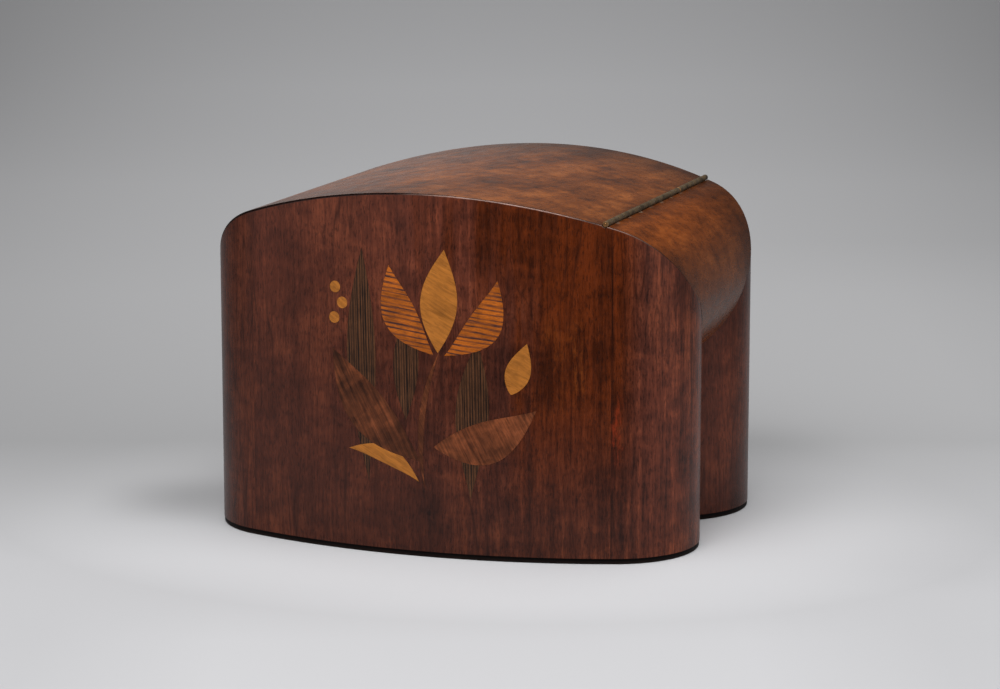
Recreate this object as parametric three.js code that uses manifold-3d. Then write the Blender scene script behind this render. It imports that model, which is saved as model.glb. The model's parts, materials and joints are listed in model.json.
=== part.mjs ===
// A lidded box: bowed front and back, four round upright corner lobes, and an arched top on a strip hinge.
// The lid carries the shoulder and the under-rolled curl at the left end. The same curl is fixed at the right.
// Millimetres. X runs to the right, Y to the back and Z up, from the middle of the underside.
import * as THREE from "three";
import { mergeVertices } from "three/addons/utils/BufferGeometryUtils.js";
import Module from "manifold-3d";

const wasm = await Module();
wasm.setup();

// Outline of the case, seen from above
const caseWidth = 300;
const caseDepth = 249;
const bowRadius = 354.5;
const recessMouth = 8.4;

// Outline of the top, seen from the front
const caseHeight = 215.5;
const archRadius = 373;
const curlRelief = 4;

// Boards
const baseThickness = 3.4;
const panelThickness = 9;
const endWallThickness = 9;
const bottomThickness = 8;
const liningThickness = 3;
const floorLiningThickness = 2.5;
const lidThickness = 7;
const rimWidth = 0.8;

// Clearances between pieces
const glueGap = 0.3;
const seatGap = 0.3;
const rimGap = 0.45;
const rollGap = 0.5;
const dropClearance = 1.7;

// Strip hinge, in two lengths on one axis
const hingeFromSeam = 6.8;
const hingeRise = 0.8;
const barrelRadius = 1.75;
const barrelInset = 0.2;
const grooveGap = 0.35;
const pinRadius = 0.85;
const boreGap = 0.3;
const knuckleGap = 0.3;
const knuckleLength = 10.7;
const longHingeShare = 0.7;
const leafThickness = 0.9;
const leafDrop = 7.2;
const leafEndGap = 0.5;
const edgeGap = 0.6;

// Hinge screws
const screwLength = 5;
const screwDrop = 4.4;
const screwHeadRadius = 1.6;
const screwShankRadius = 0.8;
const screwHoleGap = 0.25;
const longScrews = 4;
const shortScrews = 2;

// Inlaid flower and reeds
const motifWidth = 132;
const motifHeight = 152;
const motifCentreX = 8;
const motifBottom = 36;
const inlayThickness = 1.3;
const inlayGap = 0.3;

// How finely the curves are stepped
const bowSteps = 24;
const lobeSteps = 10;
const innerSteps = 12;
const roundSteps = 48;
const archSteps = 24;
const curlSteps = 10;
const leafSteps = 11;
const berrySides = 12;
const barrelSides = 12;
const pinSides = 8;

// One overrun for every cut
const overrun = 3;

// Shares of a whole turn
const halfTurn = Math.PI;
const quarterTurn = halfTurn / 2;

// Radius of the lobes, whose circle meets the bow smoothly, touches the end and leaves the recess its mouth
const halfWidth = caseWidth / 2;
const halfDepth = caseDepth / 2;
const bowCentre = bowRadius - halfDepth;
const bowToMouth = bowCentre + recessMouth / 2;
const lobeReach = bowToMouth + bowRadius - halfWidth;
const lobeSquare = lobeReach ** 2 + bowRadius ** 2 - halfWidth ** 2 - bowToMouth ** 2;
const lobeRadius = Math.sqrt(lobeSquare) - lobeReach;

// The shoulders of the top are as round as the lobes, and the curl under them is a little tighter
const shoulderRadius = lobeRadius;
const curlRadius = shoulderRadius - curlRelief;

// Places worked out from the driving sizes
const lobeX = halfWidth - lobeRadius;
const bowAngle = Math.asin(lobeX / (bowRadius - lobeRadius));
const lobeY = (bowRadius - lobeRadius) * Math.cos(bowAngle) - bowCentre;
const seamX = bowRadius * Math.sin(bowAngle);
const archCentre = caseHeight - archRadius;
const shoulderX = halfWidth - shoulderRadius;
const archAngle = Math.asin(shoulderX / (archRadius - shoulderRadius));
const shoulderZ = archCentre + (archRadius - shoulderRadius) * Math.cos(archAngle);
const curlX = halfWidth - curlRadius;
const hingeX = seamX - hingeFromSeam;
const cavityX = lobeX - endWallThickness;
const seatDepth = lidThickness + seatGap;
const floorZ = baseThickness + bottomThickness;
const axisZ = topHeight(hingeX) + hingeRise;
const barrelHalf = outlineY(hingeX) - barrelInset;
const knuckleCount = Math.round((2 * barrelHalf) / knuckleLength);
const longKnuckles = Math.round(knuckleCount * longHingeShare);
const knucklePitch = (2 * barrelHalf) / knuckleCount;
const leafTop = axisZ - barrelRadius - grooveGap;
const leafBottom = axisZ - leafDrop;
const leafHalf = barrelHalf - rimWidth - lidThickness - leafEndGap;
const screwZ = axisZ - screwDrop;

// Height of the top surface at a distance from the middle
function topHeight(x) {
  const away = Math.abs(x);
  if (away <= archRadius * Math.sin(archAngle)) {
    return archCentre + Math.sqrt(archRadius ** 2 - away ** 2);
  }
  return shoulderZ + Math.sqrt(Math.max(0, shoulderRadius ** 2 - (away - shoulderX) ** 2));
}

// Angle by which the top surface slopes at a distance from the middle
function topSlope(x) {
  const away = Math.abs(x);
  if (away <= archRadius * Math.sin(archAngle)) return Math.asin(away / archRadius);
  return Math.asin(Math.min(1, (away - shoulderX) / shoulderRadius));
}

// Half depth of the bowed front or back at a distance from the middle
function outlineY(x) {
  return Math.sqrt(bowRadius ** 2 - x ** 2) - bowCentre;
}

// Points on an arc, both ends included
function arc(centreX, centreY, radius, from, to, steps) {
  const points = [];
  for (let i = 0; i <= steps; i += 1) {
    const angle = from + ((to - from) * i) / steps;
    points.push([centreX + radius * Math.cos(angle), centreY + radius * Math.sin(angle)]);
  }
  return points;
}

// A geometry as a solid, with shared corners merged and flat triangles dropped
function solidOf(geometry) {
  geometry.deleteAttribute("normal");
  geometry.deleteAttribute("uv");
  const merged = mergeVertices(geometry);
  const kept = [];
  for (let i = 0; i < merged.index.count; i += 3) {
    const corners = [0, 1, 2].map((k) => merged.index.getX(i + k));
    if (new Set(corners).size === corners.length) kept.push(...corners);
  }
  return new wasm.Manifold(
    new wasm.Mesh({
      numProp: 3,
      vertProperties: merged.attributes.position.array,
      triVerts: new Uint32Array(kept),
    }),
  );
}

// A closed outline as a three.js shape
function shapeOf(points) {
  return new THREE.Shape(points.map(([x, y]) => new THREE.Vector2(x, y)));
}

// An outline in X and Y, standing from one height to another
function upright(points, bottom, top) {
  const run = { depth: top - bottom, bevelEnabled: false };
  const geometry = new THREE.ExtrudeGeometry(shapeOf(points), run);
  geometry.translate(0, 0, bottom);
  return solidOf(geometry);
}

// An outline in X and Z, running from front to back
function lengthwise(points, front, back) {
  const run = { depth: back - front, bevelEnabled: false };
  const geometry = new THREE.ExtrudeGeometry(shapeOf(points), run);
  geometry.rotateX(quarterTurn);
  geometry.translate(0, back, 0);
  return solidOf(geometry);
}

// A block between two corners
function block(low, high) {
  const sides = high.map((value, i) => value - low[i]);
  const geometry = new THREE.BoxGeometry(...sides);
  geometry.translate(...low.map((value, i) => value + sides[i] / 2));
  return solidOf(geometry);
}

// A rod on the hinge axis
function hingeRod(radius, front, back, sides) {
  const geometry = new THREE.CylinderGeometry(radius, radius, back - front, sides);
  geometry.translate(hingeX, (front + back) / 2, axisZ);
  return solidOf(geometry);
}

// The solids of a list as one
function joined(solids) {
  return solids.reduce((all, next) => all.add(next));
}

// The lobe's arc at the back right corner, from the bow round to the recess
function lobeArc(gap) {
  const radius = lobeRadius + gap;
  const outer = arc(lobeX, lobeY, radius, quarterTurn - bowAngle, 0, lobeSteps);
  const inner = arc(lobeX, lobeY, radius, 0, -quarterTurn, innerSteps);
  return outer.concat(inner.slice(1));
}

// Points mirrored to another side, turned round again where one mirror reverses them
function mirrored(points, sideX, sideY) {
  const moved = points.map(([x, y]) => [x * sideX, y * sideY]);
  return sideX * sideY < 0 ? moved.reverse() : moved;
}

// The line of the back at an inset from the outline, from its right end to its left at a half width
function bowLine(inset, half) {
  const radius = bowRadius - inset;
  const angle = Math.asin(half / radius);
  return arc(0, -bowCentre, radius, quarterTurn - angle, quarterTurn + angle, bowSteps);
}

// A strip that follows the bow between two insets from the outline, cut at two half widths
function bowStrip(sideY, outerInset, innerInset, outerHalf, innerHalf) {
  const outer = bowLine(outerInset, outerHalf);
  const inner = bowLine(innerInset, innerHalf).reverse();
  return mirrored(outer.concat(inner), 1, sideY);
}

// The space between the bowed front and back at an inset, out to a half width
function bowRegion(half, inset) {
  const back = bowLine(inset, half);
  const front = back.map(([x, y]) => [-x, -y]);
  return back.concat(front);
}

// The whole outline of the case, with its recess at each end
function caseOutline() {
  const corner = lobeArc(0);
  const back = bowLine(0, seamX).slice(1, -1);
  const half = [...corner.slice().reverse(), ...back, ...corner.map(([x, y]) => [-x, y])];
  return half.concat(half.map(([x, y]) => [-x, -y]));
}

// The right shoulder of the top, from the end up to the arch
function shoulderArc() {
  return arc(shoulderX, shoulderZ, shoulderRadius, 0, quarterTurn - archAngle, lobeSteps);
}

// The front elevation of the case
function elevation() {
  const right = shoulderArc();
  const arch = arc(0, archCentre, archRadius, quarterTurn - archAngle, quarterTurn + archAngle, archSteps);
  const left = right.map(([x, z]) => [-x, z]).reverse();
  return [[-halfWidth, 0], [halfWidth, 0], ...right, ...arch.slice(1, -1), ...left];
}

// Places round the top edge of the back, from left to right, with the way out of the outline at each
function edgeStations() {
  const stations = [];
  const place = (centreX, centreY, radius, outX, outY) => {
    stations.push({ x: centreX + radius * outX, y: centreY + radius * outY, outX, outY });
  };
  const tangent = quarterTurn - bowAngle;
  for (let i = 0; i < lobeSteps; i += 1) {
    const angle = (tangent * i) / lobeSteps;
    place(-lobeX, lobeY, lobeRadius, -Math.cos(angle), Math.sin(angle));
  }
  for (let i = 0; i <= bowSteps; i += 1) {
    const angle = bowAngle * ((2 * i) / bowSteps - 1);
    place(0, -bowCentre, bowRadius, Math.sin(angle), Math.cos(angle));
  }
  for (let i = lobeSteps - 1; i >= 0; i -= 1) {
    const angle = (tangent * i) / lobeSteps;
    place(lobeX, lobeY, lobeRadius, Math.cos(angle), Math.sin(angle));
  }
  return stations;
}

// The space of the top inside its bevelled seat, which falls inwards at 45 degrees from just inside the edge.
// depthOn gives its depth where the top surface slopes by an angle.
function seatSpace(inset, depthOn) {
  const corners = [];
  const ring = (station, out, rise) => {
    const x = station.x + station.outX * out;
    const y = station.y + station.outY * out;
    const z = topHeight(station.x) + rise;
    corners.push(x, -y, z, x, y, z);
  };
  const stations = edgeStations();
  for (const station of stations) {
    const depth = depthOn(topSlope(station.x));
    ring(station, overrun - inset, overrun);
    ring(station, -inset - depth, -depth);
  }
  const perStation = 4;
  const triangles = [];
  const quad = (a, b, c, d) => triangles.push(a, b, c, a, c, d);
  for (let i = 0; i + 1 < stations.length; i += 1) {
    const [topFront, topBack, lowFront, lowBack] = [0, 1, 2, 3].map((k) => i * perStation + k);
    quad(topFront, topFront + perStation, topBack + perStation, topBack);
    quad(lowFront, lowBack, lowBack + perStation, lowFront + perStation);
    quad(topFront, lowFront, lowFront + perStation, topFront + perStation);
    quad(topBack, topBack + perStation, lowBack + perStation, lowBack);
  }
  const last = (stations.length - 1) * perStation;
  quad(0, 1, 3, 2);
  quad(last, last + 2, last + 3, last + 1);
  const geometry = new THREE.BufferGeometry();
  geometry.setAttribute("position", new THREE.Float32BufferAttribute(corners, 3));
  geometry.setIndex(triangles);
  return solidOf(geometry);
}

// Everything to one side of a plane across X
function beside(from, to) {
  const reach = caseDepth;
  return block([from, -reach, -overrun], [to, reach, caseHeight + overrun]);
}

// Depth of a body that lies in the seat with its gaps, shallower where the seat is steep
function bodyDepth(slope) {
  const across = rimGap * Math.sin(slope) + seatGap;
  return seatDepth - across / (Math.sin(slope) + Math.cos(slope));
}

const underTop = lengthwise(elevation(), -caseDepth, caseDepth);
const seatCut = seatSpace(rimWidth, () => seatDepth);
const topBody = seatSpace(rimWidth + rimGap, bodyDepth).intersect(underTop);
const barrelGroove = hingeRod(barrelRadius + grooveGap, -caseDepth, caseDepth, barrelSides);

// A piece of the case from its plan, cut by the top profile, the seat of the top and the hinge groove
function casePiece(plan, bottom) {
  const stock = upright(plan, bottom, caseHeight + overrun);
  return stock.intersect(underTop).subtract(seatCut).subtract(barrelGroove);
}

function basePlate() {
  return upright(caseOutline(), 0, baseThickness);
}

function bowPanel(sideY) {
  const innerSeam = (bowRadius - panelThickness) * Math.sin(bowAngle);
  return casePiece(bowStrip(sideY, 0, panelThickness, seamX, innerSeam), baseThickness);
}

function frontPanel() {
  return bowPanel(-1).subtract(inlayPockets());
}

function cornerPost(sideX, sideY) {
  const beyondBow = [lobeX, outlineY(lobeX) + glueGap];
  const plan = mirrored([beyondBow, ...lobeArc(0)].reverse(), sideX, sideY);
  const inner = panelThickness + glueGap;
  const seamAt = (inset) => (bowRadius - inset) * Math.sin(bowAngle) + glueGap;
  const panelRoom = bowStrip(sideY, -overrun, inner, seamAt(-overrun), seamAt(inner));
  return casePiece(plan, baseThickness).subtract(upright(panelRoom, 0, caseHeight + overrun));
}

function endWall(sideX) {
  const near = sideX > 0 ? cavityX : -lobeX;
  const across = casePiece(bowRegion(lobeX, panelThickness + glueGap), baseThickness);
  return across.intersect(beside(near, near + endWallThickness));
}

function bottomBoard() {
  return upright(bowRegion(cavityX - glueGap, panelThickness + glueGap), baseThickness, floorZ);
}

function floorLining() {
  const gaps = 3 * glueGap;
  const inset = panelThickness + liningThickness + gaps;
  const half = cavityX - liningThickness - gaps;
  return upright(bowRegion(half, inset), floorZ, floorZ + floorLiningThickness);
}

function bowLining(sideY) {
  const outer = panelThickness + glueGap;
  const half = cavityX - glueGap;
  return casePiece(bowStrip(sideY, outer, outer + liningThickness, half, half), floorZ);
}

function endLining(sideX) {
  const inset = panelThickness + liningThickness + 2 * glueGap;
  const far = (cavityX - glueGap) * sideX;
  const near = far - liningThickness * sideX;
  const slab = beside(Math.min(near, far), Math.max(near, far));
  return casePiece(bowRegion(cavityX, inset), floorZ).intersect(slab);
}

// The under-rolled end between two lobes, from the curl up to the top surface
function endWedge(sideX) {
  const inside = lobeX + rollGap;
  const curl = arc(curlX, shoulderZ, curlRadius, -quarterTurn, 0, curlSteps);
  const under = [[inside, shoulderZ - curlRadius], ...curl];
  const section = [...under, ...shoulderArc().slice(1), [inside, topHeight(inside)]];
  const wedge = lengthwise(mirrored(section, sideX, 1), -lobeY, lobeY);
  const radius = lobeRadius + rollGap;
  const lobes = [-1, 1].map((sideY) => {
    const circle = arc(lobeX * sideX, lobeY * sideY, radius, 0, 2 * halfTurn, roundSteps).slice(1);
    return upright(circle, 0, caseHeight + overrun);
  });
  return wedge.subtract(joined(lobes)).intersect(underTop);
}

function fixedEndRoll(cuts) {
  const edge = hingeX + edgeGap / 2;
  const cap = topBody.intersect(beside(edge, caseWidth));
  const underLid = seatCut.intersect(beside(0, edge));
  return cap.add(endWedge(1).subtract(underLid)).subtract(barrelGroove).subtract(joined(cuts));
}

function lidPanel(cuts) {
  const board = topBody.intersect(beside(-lobeX, hingeX - edgeGap / 2));
  return board.subtract(barrelGroove).subtract(joined(cuts));
}

function lidEndRoll() {
  return topBody.intersect(beside(-caseWidth, -lobeX)).add(endWedge(-1));
}

function lidLining() {
  const layer = seatSpace(rimWidth, () => seatDepth + liningThickness).subtract(seatCut);
  const inset = panelThickness + glueGap + liningThickness + dropClearance;
  const half = cavityX - glueGap - liningThickness - dropClearance;
  return upright(bowRegion(half, inset), 0, caseHeight).intersect(layer);
}

// One length of the hinge: its span, and which leaf each knuckle belongs to
const hingeLengths = [
  { name: "long", first: 0, count: longKnuckles, screws: longScrews },
  { name: "short", first: longKnuckles, count: knuckleCount - longKnuckles, screws: shortScrews },
];

// The span of a hinge length along the axis
function hingeSpan(length) {
  const front = -barrelHalf + length.first * knucklePitch;
  return [front, front + length.count * knucklePitch - knuckleGap];
}

// The span of its leaf, kept off the bevelled ends of the lid
function leafSpan(length) {
  const [front, back] = hingeSpan(length);
  return [Math.max(front, -leafHalf), Math.min(back, leafHalf)];
}

// Places of the screws along a leaf, each in the middle of its share
function screwPlaces(length) {
  const [front, back] = leafSpan(length);
  const step = (back - front) / length.screws;
  const first = front + step / 2;
  return Array.from({ length: length.screws }, (_, i) => first + step * i);
}

// X of a leaf's inner and outer face: the case leaf is on the right of the axis, the lid leaf on the left
function leafFaces(side) {
  const near = hingeX + (side * edgeGap) / 2;
  const far = near + side * leafThickness;
  return [Math.min(near, far), Math.max(near, far)];
}

function hingeLeaf(length, side) {
  const [low, high] = leafFaces(side);
  const [front, back] = leafSpan(length);
  const parts = [block([low, front, leafBottom], [high, back, leafTop])];
  for (let i = 0; i < length.count; i += 1) {
    const place = length.first + i;
    const onCase = place % 2 === 0;
    if (onCase !== side > 0) continue;
    const start = -barrelHalf + place * knucklePitch;
    const end = start + knucklePitch - knuckleGap;
    parts.push(hingeRod(barrelRadius, start, end, barrelSides));
    parts.push(block([low, Math.max(start, front), leafBottom], [high, Math.min(end, back), axisZ]));
  }
  const bore = hingeRod(pinRadius + boreGap, -caseDepth, caseDepth, pinSides);
  const holes = screwPlaces(length).map((y) => hingeScrew(side, y, screwHoleGap));
  return joined(parts).subtract(bore).subtract(joined(holes));
}

function hingePin(length) {
  const [front, back] = hingeSpan(length);
  return hingeRod(pinRadius, front, back, pinSides);
}

// A countersunk screw through a leaf into the wood, or the room for one
function hingeScrew(side, y, gap) {
  const headDepth = leafThickness;
  const head = screwHeadRadius + gap;
  const shank = screwShankRadius + gap;
  const outline = [
    [0, 0],
    [head, 0],
    [shank, -headDepth],
    [shank, -screwLength - gap],
    [0, -screwLength - gap],
  ];
  const points = outline.reverse().map(([radius, height]) => new THREE.Vector2(radius, height));
  const geometry = new THREE.LatheGeometry(points, pinSides);
  geometry.rotateZ(quarterTurn * side);
  geometry.translate(hingeX + (side * edgeGap) / 2, y, screwZ);
  return solidOf(geometry);
}

// Room in the wood for the leaves and their screws on one side of the hinge
function hingeCuts(side) {
  const cuts = [];
  for (const length of hingeLengths) {
    const [low, high] = leafFaces(side);
    const [front, back] = leafSpan(length);
    const [from, to] = side > 0 ? [low - overrun, high + glueGap] : [low - glueGap, high + overrun];
    cuts.push(block([from, front - glueGap, leafBottom - glueGap], [to, back + glueGap, axisZ]));
    for (const y of screwPlaces(length)) cuts.push(hingeScrew(side, y, screwHoleGap));
  }
  return cuts;
}

function hingeScrews(side) {
  return hingeLengths.flatMap((length) => screwPlaces(length).map((y) => hingeScrew(side, y, 0)));
}

// Woods of the inlay
const woods = {
  satinwood: { color: 0xcd964b, roughness: 0.4 },
  zebrawood: { color: 0xbe6e2d, roughness: 0.4 },
  walnut: { color: 0x5a321e, roughness: 0.4 },
  ebony: { color: 0x2e2618, roughness: 0.4 },
};

// Leaves, petals and reeds of the inlay, the nearest first, as shares of the motif's width and height.
// Each runs from a foot to a tip. Its middle line bows to the left by bend, and it is widest at belly.
const leafShares = [
  { name: "petal_centre", wood: "satinwood", foot: [0.53, 0.57], tip: [0.56, 0.97],
    bend: 0.01, half: 0.085, belly: 0.48 },
  { name: "petal_left", wood: "zebrawood", foot: [0.51, 0.56], tip: [0.3, 0.9],
    bend: 0.06, half: 0.08, belly: 0.5 },
  { name: "petal_right", wood: "zebrawood", foot: [0.56, 0.56], tip: [0.8, 0.86],
    bend: -0.07, half: 0.075, belly: 0.5 },
  { name: "bud", wood: "satinwood", foot: [0.86, 0.42], tip: [0.93, 0.62],
    bend: 0, half: 0.055, belly: 0.42 },
  { name: "stem", wood: "walnut", foot: [0.47, 0.03], tip: [0.54, 0.58],
    bend: 0.05, half: 0.014, belly: 0.5 },
  { name: "leaf_left", wood: "walnut", foot: [0.45, 0.14], tip: [0.02, 0.56],
    bend: 0.05, half: 0.1, belly: 0.5 },
  { name: "leaf_right", wood: "walnut", foot: [0.51, 0.2], tip: [0.97, 0.36],
    bend: -0.06, half: 0.095, belly: 0.46 },
  { name: "leaf_low", wood: "satinwood", foot: [0.44, 0.06], tip: [0.1, 0.17],
    bend: -0.05, half: 0.04, belly: 0.5 },
  { name: "reed_left", wood: "ebony", foot: [0.2, 0.04], tip: [0.17, 0.96],
    bend: 0.02, half: 0.07, belly: 0.55 },
  { name: "reed_middle", wood: "ebony", foot: [0.38, 0.3], tip: [0.4, 0.74],
    bend: 0.01, half: 0.06, belly: 0.5 },
  { name: "reed_right", wood: "ebony", foot: [0.68, 0], tip: [0.71, 0.62],
    bend: 0.01, half: 0.075, belly: 0.55 },
];

// Berries of the inlay, as shares of the motif's width and height, with their radius as a share of its width
const berryShares = [
  [0.03, 0.68],
  [0.07, 0.74],
  [0.035, 0.8],
];
const berryRadiusShare = 0.026;

// A place in the motif, from shares of its width and height
function motifPlace([across, up]) {
  const left = motifCentreX - motifWidth / 2;
  return [left + across * motifWidth, motifBottom + up * motifHeight];
}

// The outline of a leaf, foot to tip up its right side and back down its left.
// Its middle line is a parabola, and its width a sine that is drawn towards the belly.
function leafOutline(leaf) {
  const [footX, footZ] = motifPlace(leaf.foot);
  const [tipX, tipZ] = motifPlace(leaf.tip);
  const runX = tipX - footX;
  const runZ = tipZ - footZ;
  const length = Math.hypot(runX, runZ);
  const halfway = 1 / 2;
  const draw = Math.log(halfway) / Math.log(leaf.belly);
  const side = (sign) =>
    Array.from({ length: leafSteps + 1 }, (_, i) => {
      const share = i / leafSteps;
      const bow = (leaf.bend * motifWidth * share * (1 - share)) / halfway ** 2;
      const width = leaf.half * motifWidth * Math.sin(halfTurn * share ** draw);
      const out = (bow + sign * width) / length;
      return [footX + runX * share - runZ * out, footZ + runZ * share + runX * out];
    });
  return side(-1).concat(side(1).reverse().slice(1, -1));
}

// An outline that runs counter-clockwise, grown outwards all round, with blunted points
function grown(points, gap) {
  const leastCosine = 0.5;
  return points.map(([x, y], i) => {
    const [beforeX, beforeY] = points[(i + points.length - 1) % points.length];
    const [afterX, afterY] = points[(i + 1) % points.length];
    const before = new THREE.Vector2(y - beforeY, beforeX - x).normalize();
    const after = new THREE.Vector2(afterY - y, x - afterX).normalize();
    const middle = before.clone().add(after).normalize();
    const reach = gap / Math.max(leastCosine, middle.dot(before));
    return [x + middle.x * reach, y + middle.y * reach];
  });
}

// A shape of the motif from front to back through the front panel
function throughFront(outline) {
  return lengthwise(outline, -halfDepth - overrun, -lobeY);
}

// The outlines of the motif with their names and woods, the nearest first
function motifOutlines() {
  const leaves = leafShares.map((leaf) => {
    return { name: leaf.name, wood: leaf.wood, outline: leafOutline(leaf) };
  });
  const radius = berryRadiusShare * motifWidth;
  const berries = berryShares.map((share, i) => {
    const outline = arc(...motifPlace(share), radius, 0, 2 * halfTurn, berrySides).slice(1);
    return { name: `berry_${i + 1}`, wood: "satinwood", outline };
  });
  return leaves.concat(berries);
}

// The layer of the front panel that the inlay fills, between two insets
function frontLayer(outer, inner) {
  return upright(bowStrip(-1, outer, inner, seamX, seamX), 0, caseHeight);
}

// The room that a shape of the motif takes in the front panel, with its saw line
function motifRoom({ outline }) {
  return throughFront(grown(outline, inlayGap));
}

// The inlaid pieces, each cut by the nearer ones, so that a leaf leaves the reed behind it in two lengths
function inlayPieces() {
  const layer = frontLayer(0, inlayThickness);
  const shapes = motifOutlines();
  return shapes.flatMap(({ name, wood, outline }, place) => {
    const nearer = shapes.slice(0, place).map(motifRoom);
    const whole = throughFront(outline).intersect(layer);
    const lengths = (nearer.length ? whole.subtract(joined(nearer)) : whole).decompose();
    lengths.sort((a, b) => a.boundingBox().min[2] - b.boundingBox().min[2]);
    return lengths.map((solid, i) => {
      const lengthName = lengths.length > 1 ? `${name}_${i + 1}` : name;
      return { name: lengthName, wood, solid };
    });
  });
}

// The pockets of the inlay in the front panel
function inlayPockets() {
  const rooms = joined(motifOutlines().map(motifRoom));
  return rooms.intersect(frontLayer(-overrun, inlayThickness + inlayGap));
}

// Finishes
const veneer = { color: 0x5c2d1e, roughness: 0.35 };
const topVeneer = { color: 0x6b3f2a, roughness: 0.3 };
const blackened = { color: 0x141212, roughness: 0.5 };
const plainWood = { color: 0x6e4630, roughness: 0.6 };
const cedar = { color: 0xa86a44, roughness: 0.7 };
const bronze = { color: 0x6b6048, roughness: 0.35, metalness: 0.9 };

const box = new THREE.Group();

// Puts a solid in the box as a named mesh
function addPiece(name, solid, finish) {
  const { vertProperties, triVerts } = solid.getMesh();
  const geometry = new THREE.BufferGeometry();
  geometry.setAttribute("position", new THREE.BufferAttribute(new Float32Array(vertProperties), 3));
  geometry.setIndex(new THREE.BufferAttribute(new Uint32Array(triVerts), 1));
  geometry.computeVertexNormals();
  const mesh = new THREE.Mesh(geometry, new THREE.MeshStandardMaterial({ metalness: 0, ...finish }));
  mesh.name = name;
  box.add(mesh);
}

const sideNames = { [-1]: ["left", "front"], 1: ["right", "back"] };

addPiece("base_plate", basePlate(), blackened);
addPiece("bottom_board", bottomBoard(), plainWood);
addPiece("front_panel", frontPanel(), veneer);
addPiece("back_panel", bowPanel(1), veneer);
for (const sideX of [-1, 1]) {
  const [across] = sideNames[sideX];
  addPiece(`${across}_end_wall`, endWall(sideX), plainWood);
  addPiece(`${across}_lining`, endLining(sideX), cedar);
  for (const sideY of [-1, 1]) {
    const deep = sideNames[sideY][1];
    addPiece(`post_${deep}_${across}`, cornerPost(sideX, sideY), veneer);
  }
}
for (const sideY of [-1, 1]) addPiece(`${sideNames[sideY][1]}_lining`, bowLining(sideY), cedar);
addPiece("floor_lining", floorLining(), cedar);
addPiece("fixed_end_roll", fixedEndRoll(hingeCuts(1)), topVeneer);
addPiece("lid_panel", lidPanel(hingeCuts(-1)), topVeneer);
addPiece("lid_end_roll", lidEndRoll(), topVeneer);
addPiece("lid_lining", lidLining(), cedar);
for (const length of hingeLengths) {
  addPiece(`hinge_${length.name}_case_leaf`, hingeLeaf(length, 1), bronze);
  addPiece(`hinge_${length.name}_lid_leaf`, hingeLeaf(length, -1), bronze);
  addPiece(`hinge_${length.name}_pin`, hingePin(length), bronze);
}
hingeScrews(1).forEach((screw, i) => addPiece(`hinge_case_screw_${i + 1}`, screw, bronze));
hingeScrews(-1).forEach((screw, i) => addPiece(`hinge_lid_screw_${i + 1}`, screw, bronze));
for (const { name, wood, solid } of inlayPieces()) addPiece(`inlay_${name}`, solid, woods[wood]);

export default box;
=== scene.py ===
import json
import math

import bmesh
import bpy
import numpy as np
from bpy.props import FloatProperty, FloatVectorProperty, IntProperty, PointerProperty
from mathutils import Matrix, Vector

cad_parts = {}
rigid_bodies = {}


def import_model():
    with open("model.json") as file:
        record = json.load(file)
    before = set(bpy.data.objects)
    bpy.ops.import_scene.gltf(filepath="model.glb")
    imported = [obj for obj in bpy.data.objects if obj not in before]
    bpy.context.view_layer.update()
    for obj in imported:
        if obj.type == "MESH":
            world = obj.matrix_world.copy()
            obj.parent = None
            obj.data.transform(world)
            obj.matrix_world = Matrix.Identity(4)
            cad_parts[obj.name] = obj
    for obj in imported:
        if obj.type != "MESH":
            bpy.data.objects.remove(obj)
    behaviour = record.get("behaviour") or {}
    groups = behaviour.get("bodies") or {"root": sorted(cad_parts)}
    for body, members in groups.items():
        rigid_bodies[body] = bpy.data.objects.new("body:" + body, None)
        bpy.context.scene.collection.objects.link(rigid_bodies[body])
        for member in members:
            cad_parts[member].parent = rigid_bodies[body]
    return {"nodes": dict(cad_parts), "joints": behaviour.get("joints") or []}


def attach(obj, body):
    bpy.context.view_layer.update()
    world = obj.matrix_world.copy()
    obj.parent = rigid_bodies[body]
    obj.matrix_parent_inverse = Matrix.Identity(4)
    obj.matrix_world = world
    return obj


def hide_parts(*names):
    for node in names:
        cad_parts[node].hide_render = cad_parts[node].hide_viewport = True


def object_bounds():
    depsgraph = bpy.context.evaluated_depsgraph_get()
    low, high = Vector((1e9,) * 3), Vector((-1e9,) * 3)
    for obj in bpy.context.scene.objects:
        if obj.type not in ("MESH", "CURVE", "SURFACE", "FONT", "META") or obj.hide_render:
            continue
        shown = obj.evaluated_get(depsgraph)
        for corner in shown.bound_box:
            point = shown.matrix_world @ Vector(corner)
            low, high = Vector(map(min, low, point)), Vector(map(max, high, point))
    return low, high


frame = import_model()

bl_info = {
    "name": "Inlaid bow-fronted box",
    "version": (1, 0, 0),
    "blender": (4, 5, 0),
    "location": "3D View > Sidebar > Inlaid Box",
    "description": "Builds the pieces, woods and studio of an inlaid box around its packed frame",
    "category": "Object",
}

CAD_LOW, CAD_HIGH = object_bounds()
HINGE = frame["joints"][0]
HINGE_X, _, AXIS_Z = HINGE["pos_m"]
CASE, LID = HINGE["parent"], HINGE["child"]
MM = 0.001
OVERRUN = 3 * MM
QUARTER, FULL = math.pi / 2, 2 * math.pi
WELD = 1e-6


# ---- Sizes and colours that a user would change ----

def length(name, description, millimetres):
    """A length property with its default in millimetres."""
    return FloatProperty(name=name, description=description, default=millimetres * MM, precision=5,
                         subtype="DISTANCE", unit="LENGTH")


def colour(name, description, red, green, blue):
    """A colour property with its default on the usual scale of 0 to 255."""
    default = (red / 255, green / 255, blue / 255)
    return FloatVectorProperty(name=name, description=description, default=default, size=3, min=0, max=1,
                               subtype="COLOR_GAMMA")


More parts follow.
